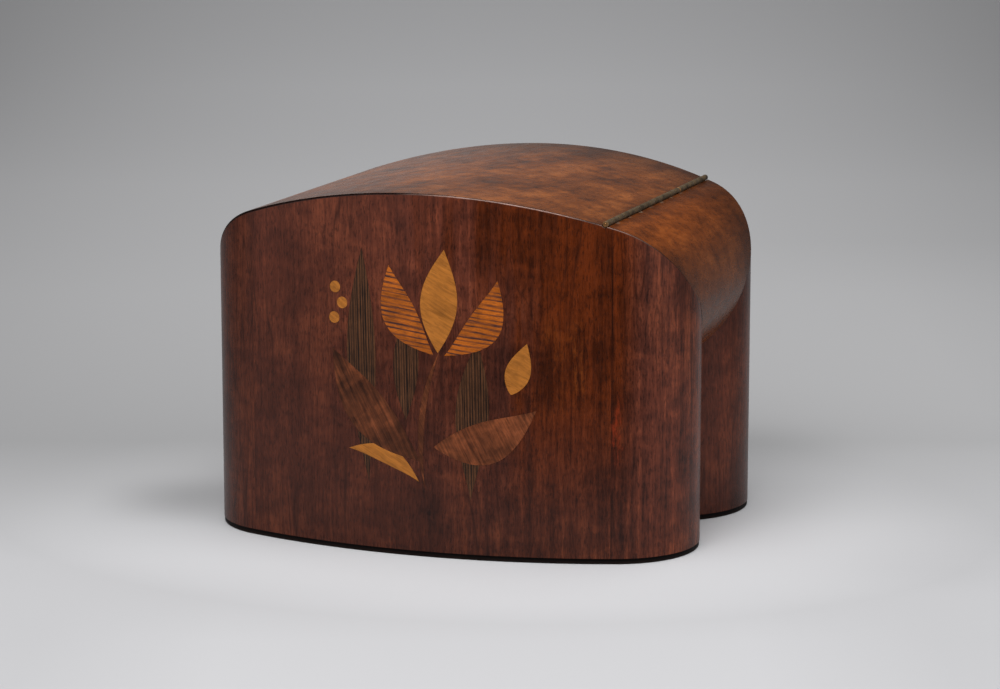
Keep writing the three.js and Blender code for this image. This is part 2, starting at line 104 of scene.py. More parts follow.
class BoxSizes(bpy.types.PropertyGroup):
    """Sizes of the box. Most are the sizes of its solids."""

    bow_radius: length("Bow radius", "Radius of the bowed front and back, seen from above", 354.5)
    seam_setback: length("Seam setback", "How far the seams of the posts lie inside the start of the lobes", 2.9)
    recess_mouth: length("Recess mouth", "Gap between the two lobes of an end", 8.4)
    arch_radius: length("Arch radius", "Radius of the arched top, seen from the front", 373)
    curl_relief: length("Curl relief", "How much tighter the curl is than the shoulder over it", 4)
    panel_thickness: length("Panel thickness", "Thickness of the bowed panels", 9)
    end_wall: length("End wall", "Thickness of the walls at the bottom of the recesses", 9)
    base_thickness: length("Base thickness", "Height of the black base", 3.4)
    bottom_thickness: length("Bottom thickness", "Thickness of the bottom board", 8)
    lining_thickness: length("Lining thickness", "Thickness of the cedar linings", 3)
    seat_depth: length("Seat depth", "Depth of the lid's seat under the top surface", 7.3)
    glue_gap: length("Glue gap", "Gap between glued boards", 0.3)
    rim_land: length("Rim land", "Width of the flat on the rim of the case", 0.25)
    rim_round: length("Rim rounding", "Radius of the worn arris of the rim", 0.8)
    parting: length("Parting", "How far the rim lies under the lid's edge on the left", 0.75)
    inlay_thickness: length("Inlay thickness", "Thickness of the inlaid pieces", 1.3)
    saw_line: length("Saw line", "Gap round an inlaid piece", 0.07)


class HingeSizes(bpy.types.PropertyGroup):
    """Sizes of the strip hinge."""

    barrel_radius: length("Barrel radius", "Radius of the knuckles", 1.75)
    groove_gap: length("Groove gap", "Room round the barrel in the wood", 0.35)
    pin_radius: length("Pin radius", "Radius of the pin", 0.85)
    leaf_thickness: length("Leaf thickness", "Thickness of a leaf", 0.9)
    leaf_drop: length("Leaf drop", "How far a leaf hangs under the axis", 7.2)
    edge_gap: length("Edge gap", "Gap between the lid and the fixed strip", 0.6)
    barrel_half: length("Half barrel", "Half the length of the barrel", 107.43)
    leaf_half: length("Half leaf", "Half the length that the leaves cover", 99.13)
    knuckle_gap: length("Knuckle gap", "Gap between two knuckles", 0.3)
    screw_drop: length("Screw drop", "How far the screws lie under the axis", 4.4)
    knuckles: IntProperty(name="Knuckles", description="Number of knuckles on both lengths", default=20, min=2)
    long_knuckles: IntProperty(name="Long knuckles", description="Number of knuckles on the front length",
                               default=14, min=1)


class BoxColours(bpy.types.PropertyGroup):
    """Colours of the woods and metals."""

    # The side veneer's colours hold a little painted milky reflection, which the warm zone of the front is left
    # without.
    veneer_dark: colour("Veneer, dark", "Dark streaks of the side veneer", 36, 16, 12)
    veneer_mid: colour("Veneer, middle", "Ground of the side veneer", 79, 37, 24)
    veneer_light: colour("Veneer, light", "Light streaks of the side veneer", 120, 61, 38)
    veneer_warm: colour("Veneer, warm", "Orange zone of the front veneer", 90, 34, 2)
    top_dark: colour("Top, dark", "Dark flecks of the top veneer", 66, 33, 16)
    top_mid: colour("Top, middle", "Ground of the top veneer", 123, 65, 24)
    top_light: colour("Top, light", "Light figure of the top veneer", 166, 95, 42)
    glow: colour("Glow", "Bright figure in the warm zone of the front", 132, 66, 10)
    streak: colour("Bright streak", "Streak beside the right seam of the front", 150, 48, 12)
    # Painted highlight on the rim's arris, right of the middle.
    worn: colour("Worn arris", "Pale worn arris of the rim", 182, 142, 128)
    # Pale specks on the strip along the hinge, about one to a knuckle.
    pale_specks: colour("Scuffed edge", "Chipped polish along the hinge", 134, 122, 104)
    raw_wood: colour("Raw wood", "Stained edges and boards under the veneer", 44, 22, 14)
    cedar: colour("Cedar", "Linings", 150, 92, 58)
    base: colour("Base", "Black base", 9, 5, 4)
    satinwood: colour("Satinwood", "Pale inlay", 182, 112, 41)
    zebrawood: colour("Zebrawood", "Orange striped inlay", 180, 94, 20)
    zebra_stripe: colour("Zebrawood, stripe", "Stripes of the orange inlay", 62, 40, 42)
    walnut: colour("Walnut", "Brown inlay", 97, 50, 26)
    ebony: colour("Ebony", "Dark stripes of the reeds", 30, 20, 15)
    ebony_light: colour("Ebony, light", "Light stripes of the reeds", 94, 58, 34)
    bronze: colour("Bronze", "Hinge", 116, 96, 70)
    brass: colour("Brass", "Pins and worn ends of the hinge", 196, 140, 84)
    floor_near: colour("Floor, near", "Floor in front of the box", 198, 198, 200)
    floor_far: colour("Floor, far", "Floor behind the box", 168, 168, 169)


def lifted(shade, factor):
    """A colour brought up or down as light."""
    return tuple(c * factor for c in shade[:3]) + (1.0,)


def linear(shade):
    """A colour of the panel as light, with an alpha."""
    low, slope, offset, power = 0.04045, 12.92, 0.055, 2.4
    return tuple(c / slope if c <= low else ((c + offset) / (1 + offset)) ** power for c in shade) + (1.0,)


# ---- Form of the case ----

class Form:
    """Places worked out from the sizes, by the same rules as the solids."""

    def __init__(self, sizes):
        self.half_width, self.half_depth, self.height = CAD_HIGH
        self.bow_radius = sizes.bow_radius
        self.bow_centre = sizes.bow_radius - self.half_depth
        to_mouth = self.bow_centre + sizes.recess_mouth / 2
        reach = to_mouth + self.bow_radius - self.half_width
        square = reach ** 2 + self.bow_radius ** 2 - self.half_width ** 2 - to_mouth ** 2
        self.lobe_radius = math.sqrt(square) - reach
        self.lobe_x = self.half_width - self.lobe_radius
        self.bow_angle = math.asin(self.lobe_x / (self.bow_radius - self.lobe_radius))
        self.lobe_y = (self.bow_radius - self.lobe_radius) * math.cos(self.bow_angle) - self.bow_centre
        self.seam_x = self.bow_radius * math.sin(self.bow_angle)
        self.seam_angle = math.asin((self.seam_x - sizes.seam_setback) / self.bow_radius)
        self.arch_radius = sizes.arch_radius
        self.arch_centre = self.height - sizes.arch_radius
        arch_angle = math.asin(self.lobe_x / (self.arch_radius - self.lobe_radius))
        self.arch_half = self.arch_radius * math.sin(arch_angle)
        self.shoulder_z = self.arch_centre + (self.arch_radius - self.lobe_radius) * math.cos(arch_angle)
        self.curl_radius = self.lobe_radius - sizes.curl_relief
        self.curl_x = self.half_width - self.curl_radius
        self.cavity_x = self.lobe_x - sizes.end_wall
        self.floor_z = sizes.base_thickness + sizes.bottom_thickness
        self.parting = sizes.parting

    def top(self, x):
        """Height of the top surface at a distance from the middle."""
        away = abs(x)
        if away <= self.arch_half:
            return self.arch_centre + math.sqrt(self.arch_radius ** 2 - away ** 2)
        return self.shoulder_z + math.sqrt(max(0, self.lobe_radius ** 2 - (away - self.lobe_x) ** 2))

    def slope(self, x):
        """Angle by which the top surface slopes at a distance from the middle."""
        away = abs(x)
        if away <= self.arch_half:
            return math.asin(away / self.arch_radius)
        return math.asin(min(1, (away - self.lobe_x) / self.lobe_radius))

    def drop(self, x):
        """How far the rim lies under the lid's edge: open on the left, closed towards the hinge."""
        closed, opens, shuts = 0.12, -120 * MM, 36 * MM
        share = min(1, max(0, (x - opens) / (shuts - opens)))
        return self.parting * (1 - (1 - closed) * share)

    def stations(self, bow_steps=60, lobe_steps=22):
        """Places round the edge of the back from left to right: x, y, and the way out of the outline."""
        corner = [(QUARTER - self.bow_angle) * i / lobe_steps for i in range(lobe_steps)]
        bow = [self.bow_angle * (2 * i / bow_steps - 1) for i in range(bow_steps + 1)]
        lobe, middle = (self.lobe_x, self.lobe_y, self.lobe_radius), (0, -self.bow_centre, self.bow_radius)
        ways = [(-lobe[0], *lobe[1:], -math.cos(a), math.sin(a)) for a in corner]
        ways += [(*middle, math.sin(a), math.cos(a)) for a in bow]
        ways += [(*lobe, math.cos(a), math.sin(a)) for a in reversed(corner)]
        return [(x + radius * out_x, y + radius * out_y, out_x, out_y) for x, y, radius, out_x, out_y in ways]

    def bow_line(self, inset, half, steps=60):
        """Points of the back at an inset from the outline, from right to left."""
        radius = self.bow_radius - inset
        angle = math.asin(half / radius)
        return arc(0, -self.bow_centre, radius, QUARTER - angle, QUARTER + angle, steps)

    def outline(self, lobe_steps=24):
        """The whole outline of the case with its two recesses, counter-clockwise."""
        lobe = (self.lobe_x, self.lobe_y, self.lobe_radius)
        right = arc(*lobe, -QUARTER, 0, lobe_steps)[:-1] + arc(*lobe, 0, QUARTER - self.bow_angle, lobe_steps)
        back = right + self.bow_line(0, self.seam_x)[1:-1] + mirrored(reversed(right), -1, 1)
        return back + mirrored(back, -1, -1)

    def edge_distance(self, x, y):
        """How far a place lies inside the outline."""
        x, y = abs(x), abs(y)
        if math.atan2(x, y + self.bow_centre) <= self.bow_angle:
            return self.bow_radius - math.hypot(x, y + self.bow_centre)
        return self.lobe_radius - math.hypot(x - self.lobe_x, y - self.lobe_y)

    def round_surfaces(self):
        """Axes, centres and radii of the polished round surfaces: first those along Y, then the upright ones."""
        along = [(0, self.arch_centre, self.arch_radius)]
        upright_ones = []
        for side in (-1, 1):
            along.append((side * self.lobe_x, self.shoulder_z, self.lobe_radius))
            along.append((side * self.curl_x, self.shoulder_z, self.curl_radius))
            upright_ones.append((0, -side * self.bow_centre, self.bow_radius))
            for other in (-1, 1):
                upright_ones.append((side * self.lobe_x, other * self.lobe_y, self.lobe_radius))
        return [((0, 2), *s) for s in along] + [((0, 1), *s) for s in upright_ones]


# ---- Making solids ----

def arc(centre_x, centre_y, radius, start, end, steps):
    """Points on an arc, both ends included."""
    angles = [start + (end - start) * i / steps for i in range(steps + 1)]
    return [(centre_x + radius * math.cos(a), centre_y + radius * math.sin(a)) for a in angles]


def circle(centre_x, centre_y, radius, steps):
    """Points all round a circle."""
    return arc(centre_x, centre_y, radius, 0, FULL, steps)[:-1]


def mirrored(points, side_x, side_y):
    """Points mirrored to another side."""
    return [(x * side_x, y * side_y) for x, y in points]


def reworked(mesh, *steps):
    """Runs steps of bmesh on a mesh."""
    shell = bmesh.new()
    shell.from_mesh(mesh)
    for step in steps:
        step(shell)
    shell.to_mesh(mesh)
    shell.free()


def faced_out(shell):
    bmesh.ops.recalc_face_normals(shell, faces=shell.faces)


def welded(shell, distance=WELD):
    bmesh.ops.remove_doubles(shell, verts=shell.verts, dist=distance)


def solid(vertices, faces):
    """A closed mesh object with its faces turned outwards."""
    mesh = bpy.data.meshes.new("solid")
    mesh.from_pydata([tuple(v) for v in vertices], [], faces)
    reworked(mesh, welded, faced_out)
    made = bpy.data.objects.new("solid", mesh)
    bpy.context.scene.collection.objects.link(made)
    return made


def ring_faces(rings, count):
    """The faces between rings of points, all of one count."""
    faces = []
    for i in range(rings - 1):
        for k in range(count):
            after = (k + 1) % count
            faces.append((i * count + k, i * count + after, (i + 1) * count + after, (i + 1) * count + k))
    return faces


def lofted(rings):
    """A solid through rings of points, closed at both ends."""
    count = len(rings[0])
    ends = [tuple(range(count)), tuple(range((len(rings) - 1) * count, len(rings) * count))]
    return solid([p for ring in rings for p in ring], ends + ring_faces(len(rings), count))


def turned(profile, sides):
    """A solid turned about the Y axis from (along, radius) points, whose ends lie on the axis."""
    rings = [[(x, along, z) for x, z in circle(0, 0, radius, sides)] for along, radius in profile[1:-1]]
    vertices = [p for ring in rings for p in ring] + [(0, profile[0][0], 0), (0, profile[-1][0], 0)]
    first, last, end = len(vertices) - 2, len(vertices) - 1, (len(rings) - 1) * sides
    faces = ring_faces(len(rings), sides)
    for k in range(sides):
        after = (k + 1) % sides
        faces += [(first, k, after), (last, end + k, end + after)]
    return solid(vertices, faces)


def upright(points, bottom, top):
    """An outline in X and Y, standing from one height to another."""
    return lofted([[(x, y, z) for x, y in points] for z in (bottom, top)])


def lengthwise(points, front, back):
    """An outline in X and Z, running from front to back."""
    return lofted([[(x, y, z) for x, z in points] for y in (front, back)])


def block(low, high):
    """A block between two corners."""
    return upright([(low[0], low[1]), (high[0], low[1]), (high[0], high[1]), (low[0], high[1])], low[2], high[2])


def rod(radius, front, back, steps=32):
    """A rod on the hinge axis."""
    return lengthwise(circle(HINGE_X, AXIS_Z, radius, steps), front, back)


def settled(model):
    """Turns what the modifiers of an object make into its plain mesh."""
    graph = bpy.context.evaluated_depsgraph_get()
    result = bpy.data.meshes.new_from_object(model.evaluated_get(graph))
    model.modifiers.clear()
    used, model.data = model.data, result
    bpy.data.meshes.remove(used)
    return model


def discard(thing):
    """Removes a scratch object and its mesh."""
    mesh = thing.data
    bpy.data.objects.remove(thing)
    if not mesh.users:
        bpy.data.meshes.remove(mesh)


def combined(operation):
    """A function that cuts, joins or intersects a target with tools, which are used up."""

    def work(target, *tools):
        for tool in tools:
            step = target.modifiers.new("combine", "BOOLEAN")
            step.solver, step.operation, step.object = "MANIFOLD", operation, tool
            settled(target)
            discard(tool)
            if not target.data.polygons:
                raise RuntimeError(f"nothing is left after {operation}")
        return target

    return work


cut, join, keep = combined("DIFFERENCE"), combined("UNION"), combined("INTERSECT")


def between(low_x, high_x):
    """Everything between two planes across X."""
    reach = 4 * CAD_HIGH.y
    return block((low_x, -reach, -reach), (high_x, reach, reach))


def grown(points, gap):
    """An outline grown outwards all round, with blunted points."""
    least_cosine = 0.5
    spread = []
    for i, (x, y) in enumerate(points):
        last_x, last_y = points[i - 1]
        next_x, next_y = points[(i + 1) % len(points)]
        before = Vector((y - last_y, last_x - x)).normalized()
        after = Vector((next_y - y, x - next_x)).normalized()
        middle = (before + after).normalized()
        reach = gap / max(least_cosine, middle.dot(before))
        spread.append((x + middle.x * reach, y + middle.y * reach))
    return spread


def bodies_of(piece):
    """The closed bodies of an object as objects, the lowest first. The object is used up."""
    shell = bmesh.new()
    shell.from_mesh(piece.data)
    body_of, bodies = {}, []
    for first in shell.verts:
        if first in body_of:
            continue
        body = [first]
        body_of[first] = len(bodies)
        for vertex in body:
            for other in (v for edge in vertex.link_edges for v in edge.verts if v not in body_of):
                body_of[other] = len(bodies)
                body.append(other)
        bodies.append(body)
    parts = []
    for body in sorted(bodies, key=lambda body: min(v.co.z for v in body)):
        numbers = {v: i for i, v in enumerate(body)}
        faces = [tuple(numbers[v] for v in f.verts) for f in shell.faces if f.verts[0] in numbers]
        parts.append(solid([v.co[:] for v in body], faces))
    shell.free()
    discard(piece)
    return parts


# ---- Stock that the pieces are cut from ----

def ladder(form, section):
    """A solid over the whole top, through a section of (way out, height) points at each station of the edge."""
    rings = []
    for x, y, out_x, out_y in form.stations():
        back = [(x + out_x * out, y + out_y * out, z) for out, z in section(x, out_x)]
        rings.append(back + [(px, -py, pz) for px, py, pz in reversed(back)])
    return lofted(rings)


def case_stock(form, rim_round, steps=6):
    """Everything under the top surface of the case, whose arris is worn round and lies a little under the lid's."""
    steepest = math.radians(89.9)

    def section(x, out_x):
        low = form.top(x) - form.drop(x)
        rise = math.atan(math.tan(min(form.slope(x), steepest)) * abs(out_x))
        setback = rim_round * math.tan((QUARTER - rise) / 2)
        turns = [(QUARTER - rise) * i / steps for i in range(steps + 1)]
        rounded = [(-rim_round * (1 - math.cos(t)), low - setback + rim_round * math.sin(t)) for t in turns]
        return [(0, -OVERRUN), *rounded]

    return ladder(form, section)


def seat(form, inset, depth_at, over=OVERRUN):
    """Room of the top inside its bevelled seat, which falls inwards at 45 degrees from just inside the edge."""
    return ladder(form, lambda x, out_x: [(over - inset, form.top(x) + over),
                                          (-inset - depth_at(x), form.top(x) - depth_at(x))])


def bow_strip(form, side_y, outer, inner, outer_half, inner_half, bottom):
    """A strip that follows the bow between two insets, from a height up past the top."""
    points = form.bow_line(outer, outer_half) + form.bow_line(inner, inner_half)[::-1]
    return upright(mirrored(points, 1, side_y), bottom, form.top(0) + OVERRUN)


def end_wedge(form, side_x, gap):
    """The under-rolled end between two lobes, from its curl up past the top surface."""
    inside, far = form.lobe_x + gap, form.half_width + OVERRUN
    curl = arc(form.curl_x, form.shoulder_z, form.curl_radius, -QUARTER, 0, 28)
    tall = form.top(0) + OVERRUN
    section = [(inside, form.shoulder_z - form.curl_radius), *curl, (far, form.shoulder_z), (far, tall), (inside, tall)]
    wedge = lengthwise(mirrored(section, side_x, 1), -form.lobe_y, form.lobe_y)
    for side_y in (-1, 1):
        lobe = circle(form.lobe_x * side_x, form.lobe_y * side_y, form.lobe_radius + gap, 96)
        cut(wedge, upright(lobe, -OVERRUN, tall + OVERRUN))
    return wedge


class Stock:
    """Solids that many pieces share, made once."""

    def __init__(self, form, sizes, hinge):
        self.made = {}
        self.form, self.sizes, self.hinge = form, sizes, hinge

    def take(self, name):
        """A fresh object of a shared solid."""
        if name not in self.made:
            self.made[name] = getattr(self, name)()
            self.made[name].name = f"stock_{name}"
        fresh = self.made[name].copy()
        fresh.data = fresh.data.copy()
        bpy.context.scene.collection.objects.link(fresh)
        return fresh

    def case(self):
        return case_stock(self.form, self.sizes.rim_round)

    def top(self):
        return ladder(self.form, lambda x, out_x: [(0, -OVERRUN), (0, self.form.top(x))])

    def lid_room(self):
        room = 0.3 * MM
        return seat(self.form, self.sizes.rim_land, lambda x: self.sizes.seat_depth + room)

    def lid_ladder(self):
        sizes, form, inset = self.sizes, self.form, 0.12 * MM

        def depth(x):
            angle = form.slope(x)
            return sizes.seat_depth - sizes.glue_gap / (math.sin(angle) + math.cos(angle))

        return seat(form, inset, depth)

    def groove(self):
        half = CAD_HIGH.y + OVERRUN
        return rod(self.hinge.barrel_radius + self.hinge.groove_gap, -half, half)

    def under_rim(self, piece):
        """A piece of the case under its rim, with the room of the lid and the hinge groove cut from it."""
        return cut(keep(piece, self.take("case")), self.take("lid_room"), self.take("groove"))

    def panel(self, side_y):
        """The bowed panel of a side, between its seams."""
        form, thickness = self.form, self.sizes.panel_thickness
        outer, inner = ((form.bow_radius + extra) * math.sin(form.seam_angle) for extra in (OVERRUN, -thickness))
        return self.under_rim(bow_strip(form, side_y, -OVERRUN, thickness, outer, inner, self.sizes.base_thickness))

    def clear(self):
        for thing in self.made.values():
            discard(thing)
        self.made.clear()


# ---- Finishing a piece ----

def polish(mesh, form):
    """Gives the round surfaces their true normals, and says which faces lie on them."""
    crease, tolerance, alike = math.radians(32), 0.07 * MM, 0.98
    reworked(mesh, lambda shell: welded(shell, 2 * WELD),
             lambda shell: bmesh.ops.dissolve_degenerate(shell, edges=shell.edges, dist=WELD))
    mesh.polygons.foreach_set("use_smooth", [True] * len(mesh.polygons))
    mesh.set_sharp_from_angle(angle=crease)
    mesh.update()
    normals = np.array([n.vector[:] for n in mesh.corner_normals])
    places = np.array([v.co[:] for v in mesh.vertices])
    surfaces = form.round_surfaces()
    polished = []
    for face in mesh.polygons:
        corners = places[list(face.vertices)]
        flat = np.array(face.normal)
        lies = False
        for axes, centre_a, centre_b, radius in surfaces:
            away = corners[:, axes] - (centre_a, centre_b)
            reach = np.linalg.norm(away, axis=1)
            if np.abs(reach - radius).max() > tolerance:
                continue
            true = np.zeros_like(corners)
            true[:, axes] = away / reach[:, None]
            if (true @ flat).min() > alike:
                normals[list(face.loop_indices)] = true
                lies = True
                break
        polished.append(lies)
    mesh.normals_split_custom_set(normals.tolist())
    return polished


def is_rim_arris(face, form):
    """Whether a face belongs to the rounded arris of the rim, which is veneer too and carries a painted highlight."""
    (x, y, z), normal = face.center, face.normal
    turned_up, width = normal.z > 0.02, 0.9 * MM
    outward = normal.x * x + normal.y * y > 0
    return z > form.shoulder_z and turned_up and outward and form.edge_distance(x, y) < width


def coated(thing, materials):
    """Gives an object these materials and no others."""
    thing.data.materials.clear()
    for material in materials:
        thing.data.materials.append(material)


def finished(piece, name, body, materials, nodes, form):
    """Names a piece, gives it its materials, and sets it in the frame.
    Of several materials the first goes on polished faces, the second on raw ones and the third on the rim's arris."""
    piece.name = name
    piece.data.name = name
    coated(piece, materials)
    kinds = [0 if lies or len(materials) == 1 else 1 for lies in polish(piece.data, form)]
    if len(materials) == 3:
        kinds = [2 if is_rim_arris(face, form) else kind for face, kind in zip(piece.data.polygons, kinds)]
    piece.data.polygons.foreach_set("material_index", kinds)
    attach(piece, body)
    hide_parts(*nodes)
    return piece


# ---- Node trees ----

class Value:
    """An output of a node, which can be reckoned with like a number."""

    def __init__(self, board, socket):
        self.board, self.socket = board, socket

    def math(self, operation, *others):
        kind = "ShaderNodeMath" if self.socket.type == "VALUE" else "ShaderNodeVectorMath"
        return self.board.add(kind, self, *others, operation=operation)[0]

    def __add__(self, other):
        return self.math("ADD", other)

    def __sub__(self, other):
        return self.math("SUBTRACT", other)

    def __mul__(self, other):
        return self.math("MULTIPLY", other)

    def __truediv__(self, other):
        return self.math("DIVIDE", other)

    def __abs__(self):
        return self.math("ABSOLUTE")

    __radd__ = __add__

    def dot(self, way):
        return self.board.add("ShaderNodeVectorMath", self, way, operation="DOT_PRODUCT")["Value"]

    def span(self, low, high, low_out=0.0, high_out=1.0, interpolation="LINEAR"):
        """The value brought from one range to another, and held there."""
        return self.board.add("ShaderNodeMapRange", self, low, high, low_out, high_out,
                              interpolation_type=interpolation, clamp=True)[0]

    def spot(self, centre, half):
        """One at a centre, falling smoothly to nothing at half a width away."""
        return abs(self - centre).span(half, 0.0, 0.0, 1.0, "SMOOTHSTEP")


class Outputs:
    """The outputs of a node, by name or by number."""

    def __init__(self, board, node):
        self.board, self.node = board, node

    def __getitem__(self, key):
        return Value(self.board, self.node.outputs[key])


class Board:
    """Puts nodes in a tree and joins them."""

    def __init__(self, tree):
        self.tree = tree

    def add(self, kind, *inputs, named=None, **settings):
        """Adds a node with inputs in order and by name, and gives its outputs. None leaves an input as it is."""
        row, step_x, step_y, count = 8, 220, 240, len(self.tree.nodes)
        node = self.tree.nodes.new(kind)
        node.location = (step_x * (count % row), -step_y * (count // row))
        for key, value in settings.items():
            setattr(node, key, value)
        for socket, value in zip(node.inputs, inputs):
            self.set(socket, value)
        self.fill(node.inputs, named or {})
        return Outputs(self, node)

    def set(self, socket, value):
        """Joins a value of the tree to an input, or sets the input to a plain one."""
        if isinstance(value, Value):
            self.tree.links.new(value.socket, socket)
        elif value is not None:
            socket.default_value = value

    def fill(self, sockets, values):
        for key, value in values.items():
            self.set(sockets[key], value)

    def mix(self, share, first, second, blend="MIX"):
        """A colour between two others."""
        node = self.add("ShaderNodeMix", data_type="RGBA", blend_type=blend, clamp_factor=True).node
        inputs = {socket.identifier: socket for socket in node.inputs}
        self.fill(inputs, {"Factor_Float": share, "A_Color": first, "B_Color": second})
        return Value(self, next(s for s in node.outputs if s.identifier == "Result_Color"))

    def tinted(self, shade, factor):
        """A colour made lighter or darker."""
        grey = self.add("ShaderNodeCombineColor", factor, factor, factor)[0]
        return self.mix(1.0, shade, grey, "MULTIPLY")

    def noise(self, vector, detail=2.0, roughness=0.5, distortion=0.0):
        named = {"Vector": vector, "Scale": 1.0, "Detail": detail, "Roughness": roughness, "Distortion": distortion}
        return self.add("ShaderNodeTexNoise", named=named, noise_dimensions="3D")

    def xyz(self, x, y, z):
        return self.add("ShaderNodeCombineXYZ", x, y, z)[0]

    def place(self):
        """The place on the object."""
        return self.add("ShaderNodeTexCoord")["Object"]

    def places(self):
        """X, Y and Z of the place on the object."""
        return tuple(self.add("ShaderNodeSeparateXYZ", self.place()))

    def ramp(self, value, stops):
        """A colour ramp over (place, colour) stops."""
        ramp = self.add("ShaderNodeValToRGB", value)
        band = ramp.node.color_ramp
        while len(band.elements) < len(stops):
            band.elements.new(0.5)
        for element, (place, shade) in zip(band.elements, stops):
            element.position = place
            element.color = shade
        return ramp[0]


def node_group(name, inputs, outputs, kind="ShaderNodeTree"):
    """A node group with its sockets, and the board to build it on. A number stands for an input of that default."""
    tree = bpy.data.node_groups.new(name, kind)
    for label, given in inputs.items():
        known = isinstance(given, float)
        made = tree.interface.new_socket(label, in_out="INPUT", socket_type="NodeSocketFloat" if known else given)
        if known:
            made.default_value = given
    for label, socket in outputs.items():
        tree.interface.new_socket(label, in_out="OUTPUT", socket_type=socket)
    board = Board(tree)
    return tree, board, board.add("NodeGroupInput"), board.add("NodeGroupOutput").node.inputs


def grain_group():
    """Wood grain that runs along Z of its vector. Every output but Pore and Line swings about zero."""
    name = "Wood grain"
    if name in bpy.data.node_groups:
        return bpy.data.node_groups[name]
    inputs = {"Vector": "NodeSocketVector", "Across": 280.0, "Along": 9.0, "Fine Across": 600.0, "Fine Along": 42.0,
              "Mottle": 60.0, "Waver": 0.003, "Seed": 0.0}
    outputs = dict.fromkeys(("Fine", "Streak", "Band", "Mottle", "Cloud", "Pore", "Line"), "NodeSocketFloat")
    tree, board, given, wanted = node_group(name, inputs, outputs)
    across, along, fine_across, fine_along, mottle, waver, seed = (given[label] for label in list(inputs)[1:])
    drift_scale, middle = (16.0, 16.0, 9.0), 0.5
    moved = given["Vector"] + board.xyz(seed, seed, seed)
    drift = board.noise(moved * drift_scale)["Color"] - (middle, middle, middle)
    place = moved + drift * board.xyz(waver, waver, 0.0)

    def layer(across, along, *character):
        return board.noise(place * board.xyz(across, across, along), *character)[0]

    # Scales across and along the grain, then the detail, roughness and distortion of the noise.
    layers = {"Fine": (fine_across, fine_along, 3.0, 0.62), "Streak": (across, along, 5.0, 0.62),
              "Band": (across * 0.28, along * 0.5, 3.0, 0.55), "Mottle": (mottle, mottle * 1.5, 4.0, 0.6, 0.4),
              "Cloud": (19.0, 15.0, 2.0, 0.5)}
    for key, character in layers.items():
        board.set(wanted[key], layer(*character) - middle)
    pores = layer(fine_across * 1.8, fine_along * 4.0, 1.0)
    board.set(wanted["Pore"], pores.span(0.56, 0.64))
    rings, line_width = 11.0, 0.09
    turns = layer(across * 0.14, along * 0.45, 2.0, 0.45) * rings
    board.set(wanted["Line"], turns.math("PINGPONG", 0.5).span(0.0, line_width, 1.0, 0.0))
    return tree


def grain(board, vector, **values):
    """The grain group in a material, with its own values."""
    named = {key.replace("_", " ").title(): value for key, value in values.items()}
    return board.add("ShaderNodeGroup", node_tree=grain_group(), named={"Vector": vector, **named})


def weighed(figure, **weights):
    """The sum of the grain's swings, about a middle of one half."""
    return sum((figure[key.title()] * weight for key, weight in weights.items()), 0.5)


def stripe_group():
    """Sharp stripes that run along Z of its vector, each a little wavy and broken."""
    name = "Wood stripes"
    if name in bpy.data.node_groups:
        return bpy.data.node_groups[name]
    inputs = {"Vector": "NodeSocketVector", "Pitch": 0.0028, "Width": 0.5, "Waver": 0.0012, "Along": 9.0, "Seed": 0.0}
    tree, board, given, wanted = node_group(name, inputs, dict.fromkeys(("Stripe", "Break"), "NodeSocketFloat"))
    drift_across, unevenness, soft, breaks = 160.0, 2.2, 0.35, (900.0, 900.0, 60.0)
    moved = given["Vector"] + board.xyz(given["Seed"], 0.0, given["Seed"])
    drift = board.noise(moved * board.xyz(drift_across, drift_across, given["Along"]), 3.0)[0]
    across = board.add("ShaderNodeSeparateXYZ", moved)[0] + (drift - 0.5) * given["Waver"]
    turns = across / given["Pitch"]
    turns = turns + board.noise(board.xyz(turns * 0.45, 0.0, 0.0))[0] * unevenness
    wave = (turns * FULL).math("SINE")
    board.set(wanted["Stripe"], wave.span(given["Width"] - soft, given["Width"] + soft))
    board.set(wanted["Break"], board.noise(moved * breaks)[0].span(0.35, 0.65))
    return tree


def repeat_tree():
    """A tree that repeats its object along Y, at even steps from a start."""
    name = "Repeat along the hinge"
    if name in bpy.data.node_groups:
        return bpy.data.node_groups[name]
    inputs = {"Geometry": "NodeSocketGeometry", "Count": "NodeSocketInt", "Start": 0.0, "Step": 0.01,
              "Material": "NodeSocketMaterial"}
    tree, board, given, wanted = node_group(name, inputs, {"Geometry": "NodeSocketGeometry"}, "GeometryNodeTree")
    start, step = (board.xyz(0.0, given[key], 0.0) for key in ("Start", "Step"))
    line = board.add("GeometryNodeMeshLine", mode="OFFSET",
                     named={"Count": given["Count"], "Start Location": start, "Offset": step})
    placed = board.add("GeometryNodeInstanceOnPoints", named={"Points": line[0], "Instance": given["Geometry"]})
    real = board.add("GeometryNodeRealizeInstances", placed[0])
    dressed = board.add("GeometryNodeSetMaterial", named={"Geometry": real[0], "Material": given["Material"]})
    board.set(wanted["Geometry"], dressed[0])
    return tree


def repeated(model, count, start, step, material):
    """The object repeated along Y by the tree, as a plain mesh."""
    change = model.modifiers.new("repeat", "NODES")
    change.node_group = repeat_tree()
    values = {"Count": count, "Start": start, "Step": step, "Material": material}
    for item in change.node_group.interface.items_tree:
        if item.in_out == "INPUT" and item.name in values:
            change[item.identifier] = values[item.name]
    return settled(model)


# ---- Materials ----

POLISH = 0.28
SWING = (-0.2, 0.2)
TONES = (0.2, 0.8)
FRONT_HALF = (0.0, -20 * MM)


def fresh_material(name):
    """A new material with its board and the inputs of its shader."""
    material = bpy.data.materials.new(name)
    material.use_nodes = True
    material.node_tree.nodes.clear()
    board = Board(material.node_tree)
    shader = board.add("ShaderNodeBsdfPrincipled")
    board.add("ShaderNodeOutputMaterial", shader[0])
    return material, board, shader.node.inputs


